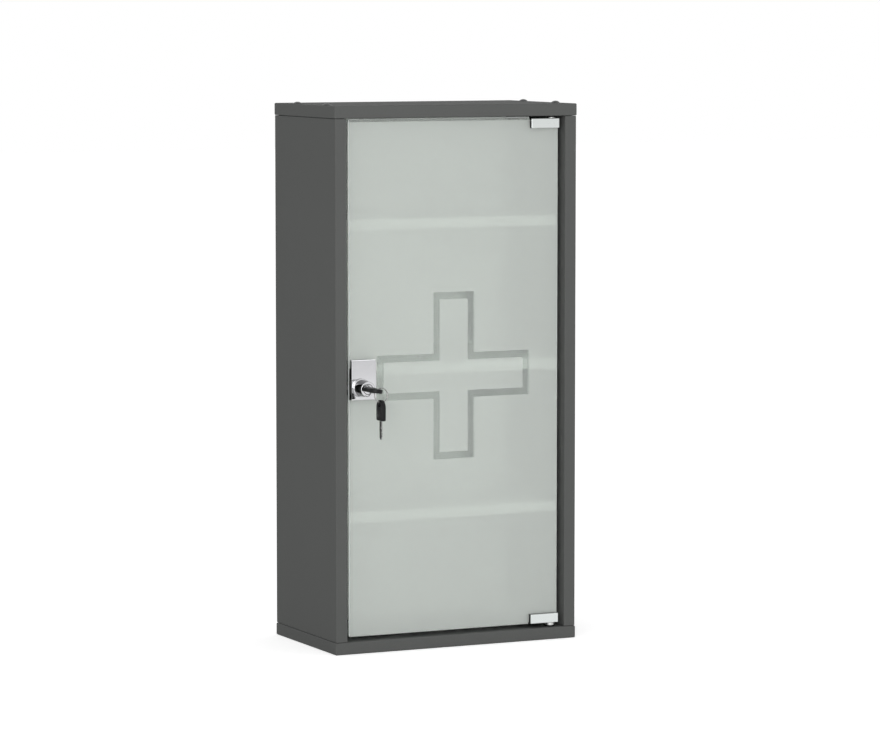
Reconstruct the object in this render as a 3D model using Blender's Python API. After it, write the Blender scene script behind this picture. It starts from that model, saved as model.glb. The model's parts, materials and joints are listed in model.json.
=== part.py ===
# Wall cabinet for medicines: a case of dark boards, three shelves and one frosted glass door with a cam lock.
# Metres, +Z up. The origin is the centre of the underside, the door faces -Y and hinges at +X.

import math

import bmesh
import bpy
from mathutils import Matrix, Vector

for old in list(bpy.data.objects):
    bpy.data.objects.remove(old, do_unlink=True)

# Case
CASE_WIDTH = 0.295
CASE_DEPTH = 0.166
CASE_HEIGHT = 0.600
BOARD = 0.0135
SIDE_INSET = 0.0008
FRONT_INSET = 0.0004
EDGE_ROUND = 0.0014
SMALL_EDGE_ROUND = 0.0007
FIT = 0.0003

# Back panel in its grooves
BACK_THICKNESS = 0.003
BACK_RECESS = 0.014
GROOVE_DEPTH = 0.004

# Shelves and the pins that carry them
SHELF_THICKNESS = 0.012
SHELF_FRONT_SETBACK = 0.0235
SHELF_MIDDLE_HEIGHT = 0.3026
SHELF_SPACING = 0.161
SHELF_END_GAP = 0.0004
PIN_RADIUS = 0.0025
PIN_END_ROUND = 0.0008
PIN_REACH = 0.008
PIN_GRIP = 0.008
PIN_FROM_SHELF_EDGE = 0.022

# Screws that join the boards
CASE_SCREW_RADIUS = 0.0025
CASE_SCREW_GRIP = 0.024
CASE_SCREW_FROM_FRONT = 0.038
CASE_SCREW_FROM_REAR = 0.048
DOME_RADIUS = 0.005
DOME_HEIGHT = 0.002
FLUSH_HEAD_RADIUS = 0.0048
FLUSH_HEAD_DEPTH = 0.0028

# Door glass
GLASS_THICKNESS = 0.004
GLASS_RECESS = 0.008
GLASS_SIDE_GAP = 0.0052
GLASS_BOTTOM_GAP = 0.0064
GLASS_TOP_GAP = 0.0042
GLASS_ARRIS = 0.0004

# Door hinges: a clamp on the glass with a shouldered pin in a bush
HINGE_LENGTH = 0.0343
HINGE_HEIGHT = 0.0104
HINGE_END_INSET = 0.001
HINGE_FRONT_WALL = 0.0032
HINGE_REAR_WALL = 0.004
HINGE_WEB = 0.001
HINGE_COVER = 0.0012
HINGE_COVER_ROUND = 0.0004
HINGE_AXIS_INSET = 0.008
HINGE_PIN_RADIUS = 0.0025
HINGE_PIN_GRIP = 0.008
HINGE_SHOULDER_RADIUS = 0.0053
BUSH_FLANGE_RADIUS = 0.0052
BUSH_FLANGE = 0.0012
BUSH_RADIUS = 0.004
BUSH_GRIP = 0.0095
SET_SCREW_RADIUS = 0.002

# Lock on the door
LOCK_WIDTH = 0.029
LOCK_HEIGHT = 0.044
LOCK_PLATE = 0.0038
LOCK_EDGE_BEVEL = 0.002
LOCK_EDGE_BEVEL_DEPTH = 0.0014
LOCK_GASKET = 0.003
LOCK_GASKET_HEIGHT = 0.034
LOCK_END_INSET = 0.0005
LOCK_AXIS_INSET = 0.0117
LOCK_HEIGHT_ABOVE_BASE = 0.293
LOCK_AXIS_ABOVE_PLATE_FOOT = 0.0135
BARREL_BASE_RADIUS = 0.0104
BARREL_BASE = 0.0022
BARREL_REACH = 0.0185
BARREL_BODY_RADIUS = 0.0094
BARREL_FACE_RADIUS = 0.0083
BARREL_CHAMFER = 0.0005
BARREL_SHANK_RADIUS = 0.0070
PLUG_RADIUS = 0.0052
PLUG_RECESS = 0.0002
LOCK_NUT_HALF_WIDTH = 0.0083
LOCK_NUT = 0.0032
TAIL_HALF_WIDTH = 0.003
CAM_THICKNESS = 0.002
CAM_WIDTH = 0.011
CAM_REACH = 0.0138
CAM_CORNER = 0.0018
CAM_SCREW_RADIUS = 0.0014
CAM_SCREW_HEAD_RADIUS = 0.0045
CAM_SCREW_HEAD = 0.0016
CAM_SCREW_GRIP = 0.007

# Strike behind the glass
STRIKE_THICKNESS = 0.0015
STRIKE_LEG = 0.0072
STRIKE_HEIGHT = 0.017
STRIKE_DEPTH = 0.016
STRIKE_SCREW_FROM_FRONT = 0.010
BUMPER_RADIUS = 0.0024
BUMPER_TIP_RADIUS = 0.0020
BUMPER_THICKNESS = 0.001
SMALL_SCREW_RADIUS = 0.0015
SMALL_SCREW_HEAD_RADIUS = 0.0028
SMALL_SCREW_HEAD = 0.0016
HEAD_CROWN_INSET = 0.0009
SMALL_SCREW_GRIP = 0.010

# Keys and their ring. At rest the key in the lock is turned a little from level
KEY_TURNED_DEGREES = 8
BOW_WIDTH = 0.0165
BOW_LENGTH = 0.0228
BOW_THICKNESS = 0.0046
BOW_EDGE_ROUND = 0.0008
BOW_HOLE_RADIUS = 0.0034
BOW_HOLE_FROM_END = 0.0047
BOW_GAP = 0.0035
BLADE_WIDTH = 0.0056
BLADE_THICKNESS = 0.0013
BLADE_LENGTH = 0.0170
BLADE_ROOT = 0.010
BLADE_TIP_HALF_WIDTH = 0.0012
KEY_CUT_DEPTHS = (0.0008, 0.0015, 0.0008, 0.0015)
KEY_CUT_START = 0.0036
KEY_CUT_PITCH = 0.0029
KEY_CUT_HALF_WIDTH = 0.0012
KEY_SLOT_CLEARANCE = 0.0004
RING_RADIUS = 0.0076
RING_WIRE_RADIUS = 0.0006
RING_DROP = 0.0039
SPARE_HANG_GAP = 0.0007

# Wall hangers let into the rear edges of the sides
HANGER_WIDTH = 0.0115
HANGER_HEIGHT = 0.046
HANGER_PLATE = 0.0015
HANGER_FROM_TOP = 0.020
HANGER_HOLE_RADIUS = 0.0043
HANGER_SLOT_RADIUS = 0.0022
HANGER_SLOT_RISE = 0.010
HANGER_POCKET_DEPTH = 0.008
HANGER_SCREW_RADIUS = 0.0014
HANGER_SCREW_GRIP = 0.012
HANGER_SCREW_HEAD_RADIUS = 0.0026
HANGER_SCREW_HEAD = 0.0012
HANGER_SCREW_FROM_END = 0.0045

# Places worked out from the sizes
front = -CASE_DEPTH / 2
rear = CASE_DEPTH / 2
side_outer = CASE_WIDTH / 2 - SIDE_INSET
side_inner = side_outer - BOARD
side_middle = (side_outer + side_inner) / 2
floor_top = BOARD
roof_underside = CASE_HEIGHT - BOARD
back_front = rear - BACK_RECESS - BACK_THICKNESS
back_rear = rear - BACK_RECESS
glass_front = front + GLASS_RECESS
glass_rear = glass_front + GLASS_THICKNESS
glass_middle = (glass_front + glass_rear) / 2
glass_half_width = side_inner - GLASS_SIDE_GAP
glass_foot = floor_top + GLASS_BOTTOM_GAP
glass_head = roof_underside - GLASS_TOP_GAP
hinge_axis_x = glass_half_width - HINGE_AXIS_INSET
lock_x = -glass_half_width + LOCK_AXIS_INSET
lock_z = LOCK_HEIGHT_ABOVE_BASE
plate_front = glass_front - LOCK_GASKET - 2 * FIT - LOCK_PLATE
barrel_face = plate_front - BARREL_REACH
nut_front = glass_rear + FIT
nut_rear = nut_front + LOCK_NUT
cam_front = nut_rear + FIT
cam_rear = cam_front + CAM_THICKNESS
bow_rear = barrel_face - BOW_GAP
bow_front = bow_rear - BOW_LENGTH
ring_y = bow_front + BOW_HOLE_FROM_END
bow_half_width_at_hole = math.sqrt((BOW_WIDTH / 2) ** 2 - (BOW_WIDTH / 2 - BOW_HOLE_FROM_END) ** 2)
key_turned = math.radians(KEY_TURNED_DEGREES)
ring_from_lock_axis = (BOW_HOLE_RADIUS + bow_half_width_at_hole) / 2
ring_x = lock_x + ring_from_lock_axis * math.cos(key_turned)
ring_z = lock_z - ring_from_lock_axis * math.sin(key_turned)
ring_foot_z = ring_z - RING_DROP - RING_RADIUS
spare_hole_z = ring_foot_z + RING_WIRE_RADIUS + SPARE_HANG_GAP - BOW_HOLE_RADIUS
strike_front = glass_rear + BUMPER_THICKNESS + 2 * FIT
strike_screw_y = strike_front + STRIKE_SCREW_FROM_FRONT
shelf_front = front + SHELF_FRONT_SETBACK
shelf_rear = back_front - FIT
shelf_heights = {
    "lower": SHELF_MIDDLE_HEIGHT - SHELF_SPACING,
    "middle": SHELF_MIDDLE_HEIGHT,
    "upper": SHELF_MIDDLE_HEIGHT + SHELF_SPACING,
}

# Turns an object built along its own +Z towards the front of the cabinet
FORWARD = (math.radians(90), 0, 0)
# Turns a section drawn in the XY plane and extruded along Z, so that it runs along X
ALONG_X = Matrix(((0, 0, 1), (1, 0, 0), (0, 1, 0)))
# Turns a key built along its own +Y so that it hangs down with its broad faces to the sides
HANGING = Matrix(((0, 0, 1), (-1, 0, 0), (0, -1, 0))).to_euler()


# Materials

def finish(name, color, roughness, metallic=0.0, transmission=0.0):
    material = bpy.data.materials.new(name)
    material.use_nodes = True
    shader = material.node_tree.nodes["Principled BSDF"]
    shader.inputs["Base Color"].default_value = (*color, 1.0)
    shader.inputs["Roughness"].default_value = roughness
    shader.inputs["Metallic"].default_value = metallic
    shader.inputs["Transmission Weight"].default_value = transmission
    material.diffuse_color = (*color, 1.0)
    return material


case_board = finish("case_board", (0.105, 0.110, 0.107), 0.45)
back_board = finish("back_board", (0.75, 0.76, 0.74), 0.6)
shelf_board = finish("shelf_board", (0.70, 0.72, 0.69), 0.5)
frosted_glass = finish("frosted_glass", (0.56, 0.62, 0.57), 0.4, transmission=0.3)
chrome = finish("chrome", (0.72, 0.73, 0.74), 0.18, metallic=1.0)
steel = finish("steel", (0.55, 0.55, 0.55), 0.35, metallic=1.0)
dark_steel = finish("dark_steel", (0.09, 0.09, 0.09), 0.4)
black_plastic = finish("black_plastic", (0.015, 0.015, 0.016), 0.4)
clear_rubber = finish("clear_rubber", (0.65, 0.66, 0.64), 0.3, transmission=0.5)


# Mesh helpers

def add_box(bm, low, high):
    """Add the box between two corners."""
    low, high = Vector(low), Vector(high)
    made = bmesh.ops.create_cube(bm, size=1.0)
    scale = Matrix.Diagonal((*(high - low), 1.0))
    bmesh.ops.transform(bm, matrix=Matrix.Translation((low + high) / 2) @ scale, verts=made["verts"])


def add_rod(bm, start, end, radius, end_radius=None, sides=16):
    """Add a closed rod, or a cone if it has an end radius, from start to end."""
    start, end = Vector(start), Vector(end)
    along = end - start
    turn = Vector((0, 0, 1)).rotation_difference(along).to_matrix().to_4x4()
    bmesh.ops.create_cone(bm, cap_ends=True, segments=sides, radius1=radius,
                          radius2=radius if end_radius is None else end_radius, depth=along.length,
                          matrix=Matrix.Translation((start + end) / 2) @ turn)


def add_turned(bm, profile, sides=32):
    """Turn (radius, height) points round the local Z axis. A profile that starts off the axis is closed."""
    points = [bm.verts.new((radius, 0, height)) for radius, height in profile]
    edges = [bm.edges.new(pair) for pair in zip(points, points[1:])]
    if profile[0][0] > 0:
        edges.append(bm.edges.new((points[-1], points[0])))
    bmesh.ops.spin(bm, geom=points + edges, cent=(0, 0, 0), axis=(0, 0, 1), angle=math.tau, steps=sides,
                   use_merge=True)
    bmesh.ops.remove_doubles(bm, verts=bm.verts, dist=1e-6)


def add_outline(bm, outline, low, high):
    """Extrude a closed flat outline of (x, y) points from height low to height high."""
    base = bm.faces.new([bm.verts.new((x, y, low)) for x, y in outline])
    pushed = bmesh.ops.extrude_face_region(bm, geom=[base])["geom"]
    raised = [item for item in pushed if isinstance(item, bmesh.types.BMVert)]
    bmesh.ops.translate(bm, vec=(0, 0, high - low), verts=raised)


def arc(center_x, center_y, radius, start_degrees, end_degrees, steps):
    """Points along an arc."""
    angles = [math.radians(start_degrees + (end_degrees - start_degrees) * i / steps) for i in range(steps + 1)]
    return [(center_x + radius * math.cos(a), center_y + radius * math.sin(a)) for a in angles]


def world_matrix(obj):
    if obj is None:
        return Matrix()
    return world_matrix(obj.parent) @ Matrix.LocRotScale(obj.location, obj.rotation_euler, None)


def placed(name, mesh, at, parent=None, turn=(0, 0, 0)):
    """Link an object at a world place, carried by its parent. The turn is from the parent's own."""
    obj = bpy.data.objects.new(name, mesh)
    bpy.context.collection.objects.link(obj)
    obj.parent = parent
    obj.location = world_matrix(parent).inverted() @ Vector(at)
    obj.rotation_euler = turn
    return obj


def finished(name, bm, material, at=(0, 0, 0), parent=None, turn=(0, 0, 0), smooth=False):
    """Close a bmesh into a named object."""
    bmesh.ops.recalc_face_normals(bm, faces=bm.faces)
    mesh = bpy.data.meshes.new(name)
    bm.to_mesh(mesh)
    bm.free()
    mesh.materials.append(material)
    if smooth:
        mesh.shade_smooth()
        mesh.set_sharp_from_angle(angle=math.radians(35))
    return placed(name, mesh, at, parent, turn)


def rounded(obj, width, segments=2):
    bevel = obj.modifiers.new("edges", "BEVEL")
    bevel.width = width
    bevel.segments = segments
    bevel.limit_method = "ANGLE"
    bevel.angle_limit = math.radians(40)


def combine(obj, bm, operation="DIFFERENCE"):
    """Cut shapes out of an object, or unite them with it. The shapes are given in the object's own places."""
    bmesh.ops.recalc_face_normals(bm, faces=bm.faces)
    count = len(obj.modifiers)
    mesh = bpy.data.meshes.new(f"{obj.name}_cutter_{count}")
    bm.to_mesh(mesh)
    bm.free()
    cutter = bpy.data.objects.new(mesh.name, mesh)
    bpy.context.collection.objects.link(cutter)
    cutter.parent = obj
    cutter.hide_render = True
    cutter.display_type = "WIRE"
    boolean = obj.modifiers.new(f"cut_{count}", "BOOLEAN")
    boolean.operation = operation
    boolean.solver = "EXACT"
    boolean.object = cutter


def board(name, low, high, material, edge):
    """A board with rounded edges. Its origin is the cabinet's, so cuts in it are given in world places."""
    bm = bmesh.new()
    add_box(bm, low, high)
    obj = finished(name, bm, material)
    rounded(obj, edge)
    return obj


# Case

def case_screw_places():
    """Each screw of the case: its name, its x and its y, the same at the top and the bottom."""
    rows = {"front": front + CASE_SCREW_FROM_FRONT, "rear": rear - CASE_SCREW_FROM_REAR}
    sides = {"left": -side_middle, "right": side_middle}
    return [(f"{side}_{row}", x, y) for side, x in sides.items() for row, y in rows.items()]


def pin_places():
    """Each shelf pin: its name, its side (-1 left, 1 right), its y and the height of its centre."""
    rows = {"front": shelf_front + PIN_FROM_SHELF_EDGE, "rear": shelf_rear - PIN_FROM_SHELF_EDGE}
    return [(f"{level}_{side}_{row}", sign, y, height - FIT - PIN_RADIUS)
            for level, height in shelf_heights.items()
            for side, sign in (("left", -1), ("right", 1))
            for row, y in rows.items()]


def make_end_panel(name, inner, outer):
    """The top or bottom panel, from its inner face to its outer face."""
    inward = math.copysign(1, inner - outer)
    low, high = sorted((inner, outer))
    panel = board(name, (-CASE_WIDTH / 2, front, low), (CASE_WIDTH / 2, rear, high), case_board, EDGE_ROUND)
    cuts = bmesh.new()
    for place, x, y in case_screw_places():
        add_rod(cuts, (x, y, low - BOARD), (x, y, high + BOARD), CASE_SCREW_RADIUS + FIT)
    add_rod(cuts, (hinge_axis_x, glass_middle, inner + inward * BOARD),
            (hinge_axis_x, glass_middle, inner - inward * (BUSH_GRIP + FIT)), BUSH_RADIUS + FIT, sides=24)
    groove_low, groove_high = sorted((inner + inward * BOARD, inner - inward * GROOVE_DEPTH))
    add_box(cuts, (-side_inner - GROOVE_DEPTH, back_front - FIT, groove_low),
            (side_inner + GROOVE_DEPTH, back_rear + FIT, groove_high))
    combine(panel, cuts)
    return panel


def make_case():
    make_end_panel("top_panel", roof_underside, CASE_HEIGHT)
    bottom = make_end_panel("bottom_panel", floor_top, 0)
    slope = (FLUSH_HEAD_RADIUS - CASE_SCREW_RADIUS) / FLUSH_HEAD_DEPTH
    sinks = bmesh.new()
    for place, x, y in case_screw_places():
        add_rod(sinks, (x, y, -BOARD), (x, y, FLUSH_HEAD_DEPTH), FLUSH_HEAD_RADIUS + 2 * FIT + slope * BOARD,
                CASE_SCREW_RADIUS + 2 * FIT, sides=24)
    combine(bottom, sinks)

    make_side("side_panel_left", -1)
    make_side("side_panel_right", 1)

    reach = GROOVE_DEPTH - FIT
    board("back_panel", (-side_inner - reach, back_front, floor_top - reach),
          (side_inner + reach, back_rear, roof_underside + reach), back_board, FIT)

    for level, height in shelf_heights.items():
        half = side_inner - SHELF_END_GAP
        board(f"shelf_{level}", (-half, shelf_front, height), (half, shelf_rear, height + SHELF_THICKNESS),
              shelf_board, SMALL_EDGE_ROUND)


def make_side(name, sign):
    x_low, x_high = sorted((sign * side_inner, sign * side_outer))
    side = board(name, (x_low, front + FRONT_INSET, floor_top + FIT), (x_high, rear, roof_underside - FIT),
                 case_board, SMALL_EDGE_ROUND)
    cuts = bmesh.new()
    for place, x, y in case_screw_places():
        if x * sign > 0:
            for end, inward in ((floor_top, 1), (roof_underside, -1)):
                add_rod(cuts, (x, y, end - inward * BOARD), (x, y, end + inward * (CASE_SCREW_GRIP + FIT)),
                        CASE_SCREW_RADIUS + FIT)
    for place, pin_side, y, z in pin_places():
        if pin_side == sign:
            add_rod(cuts, (sign * (side_inner - BOARD), y, z), (sign * (side_inner + PIN_GRIP + FIT), y, z),
                    PIN_RADIUS + FIT, sides=12)
    if sign < 0:
        add_rod(cuts, (-side_inner + BOARD, strike_screw_y, lock_z),
                (-side_inner - SMALL_SCREW_GRIP, strike_screw_y, lock_z), SMALL_SCREW_RADIUS + FIT, sides=12)
    groove_low, groove_high = sorted((sign * (side_inner - BOARD), sign * (side_inner + GROOVE_DEPTH)))
    add_box(cuts, (groove_low, back_front - FIT, -BOARD), (groove_high, back_rear + FIT, CASE_HEIGHT + BOARD))
    combine(side, cuts)
    cut_hanger_seat(side, sign)


def hanger_place(sign):
    """The middle of a wall hanger's outer face."""
    return Vector((sign * side_middle, rear - FIT, roof_underside - HANGER_FROM_TOP - HANGER_HEIGHT / 2))


def hanger_screw_offsets():
    offset = HANGER_HEIGHT / 2 - HANGER_SCREW_FROM_END
    return (-offset, offset)


def cut_hanger_seat(side, sign):
    """A shallow seat for the hanger's plate, a pocket for the wall screw's head and two screw holes."""
    center = hanger_place(sign)
    seat_y = center.y - HANGER_PLATE - FIT
    seat = bmesh.new()
    half_width = HANGER_WIDTH / 2 + FIT
    half_height = HANGER_HEIGHT / 2 + FIT
    add_box(seat, (center.x - half_width, seat_y, center.z - half_height),
            (center.x + half_width, rear + BOARD, center.z + half_height))
    combine(side, seat)
    hollows = bmesh.new()
    pocket = HANGER_HOLE_RADIUS + FIT
    rise = HANGER_SLOT_RISE / 2
    add_box(hollows, (center.x - pocket, seat_y - HANGER_POCKET_DEPTH, center.z - rise - pocket),
            (center.x + pocket, rear + BOARD, center.z + rise + pocket))
    for offset in hanger_screw_offsets():
        add_rod(hollows, (center.x, rear + BOARD, center.z + offset),
                (center.x, seat_y - HANGER_SCREW_GRIP, center.z + offset), HANGER_SCREW_RADIUS + FIT, sides=12)
    combine(side, hollows)


def make_case_screws():
    shank_foot = BOARD + CASE_SCREW_GRIP
    sphere_radius = (DOME_RADIUS ** 2 + DOME_HEIGHT ** 2) / (2 * DOME_HEIGHT)
    dome_angle = math.degrees(math.asin(DOME_RADIUS / sphere_radius))
    dome = arc(0, DOME_HEIGHT - sphere_radius, sphere_radius, 90, 90 - dome_angle, 5)
    dome[0] = (0, DOME_HEIGHT)
    top_profile = dome + [(CASE_SCREW_RADIUS, 0), (CASE_SCREW_RADIUS, -shank_foot), (0, -shank_foot)]
    flush_profile = [(0, 0), (FLUSH_HEAD_RADIUS, 0), (CASE_SCREW_RADIUS, FLUSH_HEAD_DEPTH),
                     (CASE_SCREW_RADIUS, shank_foot), (0, shank_foot)]
    for place, x, y in case_screw_places():
        bm = bmesh.new()
        add_turned(bm, top_profile, sides=20)
        finished(f"top_screw_{place}", bm, dark_steel, (x, y, CASE_HEIGHT + FIT), smooth=True)
        bm = bmesh.new()
        add_turned(bm, flush_profile, sides=16)
        finished(f"bottom_screw_{place}", bm, steel, (x, y, FIT), smooth=True)


def make_shelf_pins():
    end_radius = PIN_RADIUS - PIN_END_ROUND
    profile = [(0, -PIN_GRIP), (end_radius, -PIN_GRIP), (PIN_RADIUS, PIN_END_ROUND - PIN_GRIP),
               (PIN_RADIUS, PIN_REACH - PIN_END_ROUND), (end_radius, PIN_REACH), (0, PIN_REACH)]
    for place, sign, y, z in pin_places():
        bm = bmesh.new()
        add_turned(bm, profile, sides=12)
        finished(f"shelf_pin_{place}", bm, steel, (sign * side_inner, y, z),
                 turn=(0, -sign * math.radians(90), 0), smooth=True)


def make_hangers():
    slope = (HANGER_SCREW_HEAD_RADIUS - HANGER_SCREW_RADIUS) / HANGER_SCREW_HEAD
    for side, sign in (("left", -1), ("right", 1)):
        center = hanger_place(sign)
        bm = bmesh.new()
        corner = Vector((HANGER_WIDTH / 2, HANGER_HEIGHT / 2, 0))
        add_box(bm, -corner, corner + Vector((0, 0, HANGER_PLATE)))
        plate = finished(f"wall_hanger_{side}", bm, steel, center, turn=FORWARD)
        holes = bmesh.new()
        rise = HANGER_SLOT_RISE / 2
        add_rod(holes, (0, -rise, -BOARD), (0, -rise, BOARD), HANGER_HOLE_RADIUS, sides=24)
        for offset in hanger_screw_offsets():
            add_rod(holes, (0, offset, -HANGER_PLATE), (0, offset, HANGER_SCREW_HEAD),
                    HANGER_SCREW_HEAD_RADIUS + FIT + slope * HANGER_PLATE, HANGER_SCREW_RADIUS + FIT, sides=16)
        combine(plate, holes)
        slot = bmesh.new()
        outline = [(HANGER_SLOT_RADIUS, -rise)] + arc(0, rise, HANGER_SLOT_RADIUS, 0, 180, 8)
        add_outline(slot, outline + [(-HANGER_SLOT_RADIUS, -rise)], -BOARD, BOARD)
        combine(plate, slot)
        through = bmesh.new()
        for offset in hanger_screw_offsets():
            add_rod(through, (0, offset, 0), (0, offset, 2 * HANGER_PLATE), HANGER_SCREW_RADIUS + FIT, sides=16)
        combine(plate, through)
        head_depth = HANGER_SCREW_HEAD
        profile = [(0, FIT), (HANGER_SCREW_HEAD_RADIUS - slope * FIT, FIT), (HANGER_SCREW_RADIUS, head_depth),
                   (HANGER_SCREW_RADIUS, HANGER_SCREW_GRIP), (0, HANGER_SCREW_GRIP)]
        for offset, end in zip(hanger_screw_offsets(), ("lower", "upper")):
            bm = bmesh.new()
            add_turned(bm, profile, sides=16)
            finished(f"hanger_screw_{side}_{end}", bm, steel, center + Vector((0, 0, offset)),
                     turn=FORWARD, smooth=True)


# Strike on the left side

def make_strike():
    flange_x = -side_inner + FIT
    half_height = STRIKE_HEIGHT / 2
    outline = [(0, 0), (STRIKE_LEG, 0), (STRIKE_LEG, STRIKE_THICKNESS), (STRIKE_THICKNESS, STRIKE_THICKNESS),
               (STRIKE_THICKNESS, STRIKE_DEPTH), (0, STRIKE_DEPTH)]
    bm = bmesh.new()
    add_outline(bm, outline, -half_height, half_height)
    strike = finished("lock_strike", bm, steel, (flange_x, strike_front, lock_z))
    hole = bmesh.new()
    add_rod(hole, (-BOARD, STRIKE_SCREW_FROM_FRONT, 0), (BOARD, STRIKE_SCREW_FROM_FRONT, 0),
            SMALL_SCREW_RADIUS + FIT, sides=12)
    combine(strike, hole)

    bm = bmesh.new()
    crown = SMALL_SCREW_HEAD_RADIUS - HEAD_CROWN_INSET
    profile = [(0, SMALL_SCREW_HEAD), (crown, SMALL_SCREW_HEAD), (SMALL_SCREW_HEAD_RADIUS, SMALL_SCREW_HEAD / 2),
               (SMALL_SCREW_HEAD_RADIUS, 0), (SMALL_SCREW_RADIUS, 0), (SMALL_SCREW_RADIUS, -SMALL_SCREW_GRIP),
               (0, -SMALL_SCREW_GRIP)]
    add_turned(bm, profile, sides=16)
    finished("strike_screw", bm, steel, (flange_x + STRIKE_THICKNESS + FIT, strike_screw_y, lock_z),
             turn=(0, math.radians(90), 0), smooth=True)

    bm = bmesh.new()
    add_rod(bm, (0, 0, 0), (0, 0, BUMPER_THICKNESS), BUMPER_RADIUS, BUMPER_TIP_RADIUS, sides=16)
    finished("door_bumper", bm, clear_rubber,
             (flange_x + STRIKE_LEG - BUMPER_RADIUS, strike_front - FIT, lock_z), turn=FORWARD)


# Door and its hinges

def make_door(door_axis):
    bm = bmesh.new()
    add_box(bm, (-glass_half_width - hinge_axis_x, -GLASS_THICKNESS / 2, glass_foot),
            (glass_half_width - hinge_axis_x, GLASS_THICKNESS / 2, glass_head))
    glass = finished("door_glass", bm, frosted_glass, (hinge_axis_x, glass_middle, 0), door_axis)
    rounded(glass, GLASS_ARRIS, segments=1)
    hole = bmesh.new()
    lock_from_axis = lock_x - hinge_axis_x
    add_rod(hole, (lock_from_axis, -BOARD, lock_z), (lock_from_axis, BOARD, lock_z), BARREL_SHANK_RADIUS + FIT,
            sides=32)
    combine(glass, hole)

    web_faces = {"bottom": (glass_foot - FIT - HINGE_WEB, floor_top, 1),
                 "top": (glass_head + FIT + HINGE_WEB, roof_underside, -1)}
    for end, (web_face, board_face, inward) in web_faces.items():
        make_hinge(end, web_face, board_face, inward, door_axis)


def make_hinge(end, web_face, board_face, inward, door_axis):
    """One hinge. The clamp opens inward from its web, and its pin points the other way, into the bush."""
    clamp_right = glass_half_width - HINGE_END_INSET
    clamp_middle = clamp_right - HINGE_LENGTH / 2
    slot_front = -GLASS_THICKNESS / 2 - FIT
    slot_rear = GLASS_THICKNESS / 2 + FIT
    body_front = slot_front - HINGE_FRONT_WALL
    body_rear = slot_rear + HINGE_REAR_WALL
    web_top = inward * HINGE_WEB
    lip = inward * HINGE_HEIGHT
    section = [(body_front, 0), (body_rear, 0), (body_rear, lip), (slot_rear, lip), (slot_rear, web_top),
               (slot_front, web_top), (slot_front, lip), (body_front, lip)]
    bm = bmesh.new()
    add_outline(bm, section, -HINGE_LENGTH / 2, HINGE_LENGTH / 2)
    bmesh.ops.rotate(bm, cent=(0, 0, 0), matrix=ALONG_X, verts=bm.verts)
    clamp = finished(f"hinge_clamp_{end}", bm, black_plastic, (clamp_middle, glass_middle, web_face), door_axis)
    holes = bmesh.new()
    pin_x = hinge_axis_x - clamp_middle
    add_rod(holes, (pin_x, 0, -2 * web_top), (pin_x, 0, 2 * web_top), HINGE_PIN_RADIUS + FIT, sides=24)
    screw_z = lip / 2
    add_rod(holes, (0, slot_rear - FIT, screw_z), (0, body_rear + HINGE_REAR_WALL, screw_z),
            SET_SCREW_RADIUS + FIT, sides=16)
    combine(clamp, holes)

    bm = bmesh.new()
    low_z, high_z = sorted((0, lip))
    add_box(bm, (-HINGE_LENGTH / 2, -HINGE_COVER, low_z), (HINGE_LENGTH / 2, 0, high_z))
    cover = finished(f"hinge_cover_{end}", bm, chrome,
                     (clamp_middle, glass_middle + body_front - FIT, web_face), door_axis)
    rounded(cover, HINGE_COVER_ROUND)

    bm = bmesh.new()
    add_rod(bm, (0, slot_rear, 0), (0, body_rear, 0), SET_SCREW_RADIUS, sides=16)
    finished(f"hinge_set_screw_{end}", bm, steel, (clamp_middle, glass_middle, web_face + screw_z), door_axis,
             smooth=True)

    flange_face = FIT + BUSH_FLANGE
    gap = (web_face - board_face) * inward
    shoulder_low = flange_face + FIT
    shoulder_high = gap - FIT
    pin_top = gap + HINGE_WEB
    pin_profile = [(0, pin_top), (HINGE_PIN_RADIUS, pin_top), (HINGE_PIN_RADIUS, shoulder_high),
                   (HINGE_SHOULDER_RADIUS, shoulder_high), (HINGE_SHOULDER_RADIUS, shoulder_low),
                   (HINGE_PIN_RADIUS, shoulder_low), (HINGE_PIN_RADIUS, -HINGE_PIN_GRIP), (0, -HINGE_PIN_GRIP)]
    bush_bore = HINGE_PIN_RADIUS + FIT
    bush_profile = [(bush_bore, flange_face), (BUSH_FLANGE_RADIUS, flange_face), (BUSH_FLANGE_RADIUS, FIT),
                    (BUSH_RADIUS, FIT), (BUSH_RADIUS, -BUSH_GRIP), (bush_bore, -BUSH_GRIP)]
    turn = (0, 0, 0) if inward > 0 else (math.radians(180), 0, 0)
    for name, profile, material, parent in (
            (f"hinge_pin_{end}", pin_profile, chrome, door_axis),
            (f"pivot_bush_{end}", bush_profile, black_plastic, None)):
        bm = bmesh.new()
        add_turned(bm, profile, sides=24)
        finished(name, bm, material, (hinge_axis_x, glass_middle, board_face), parent, turn, smooth=True)


# Lock on the door

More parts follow.
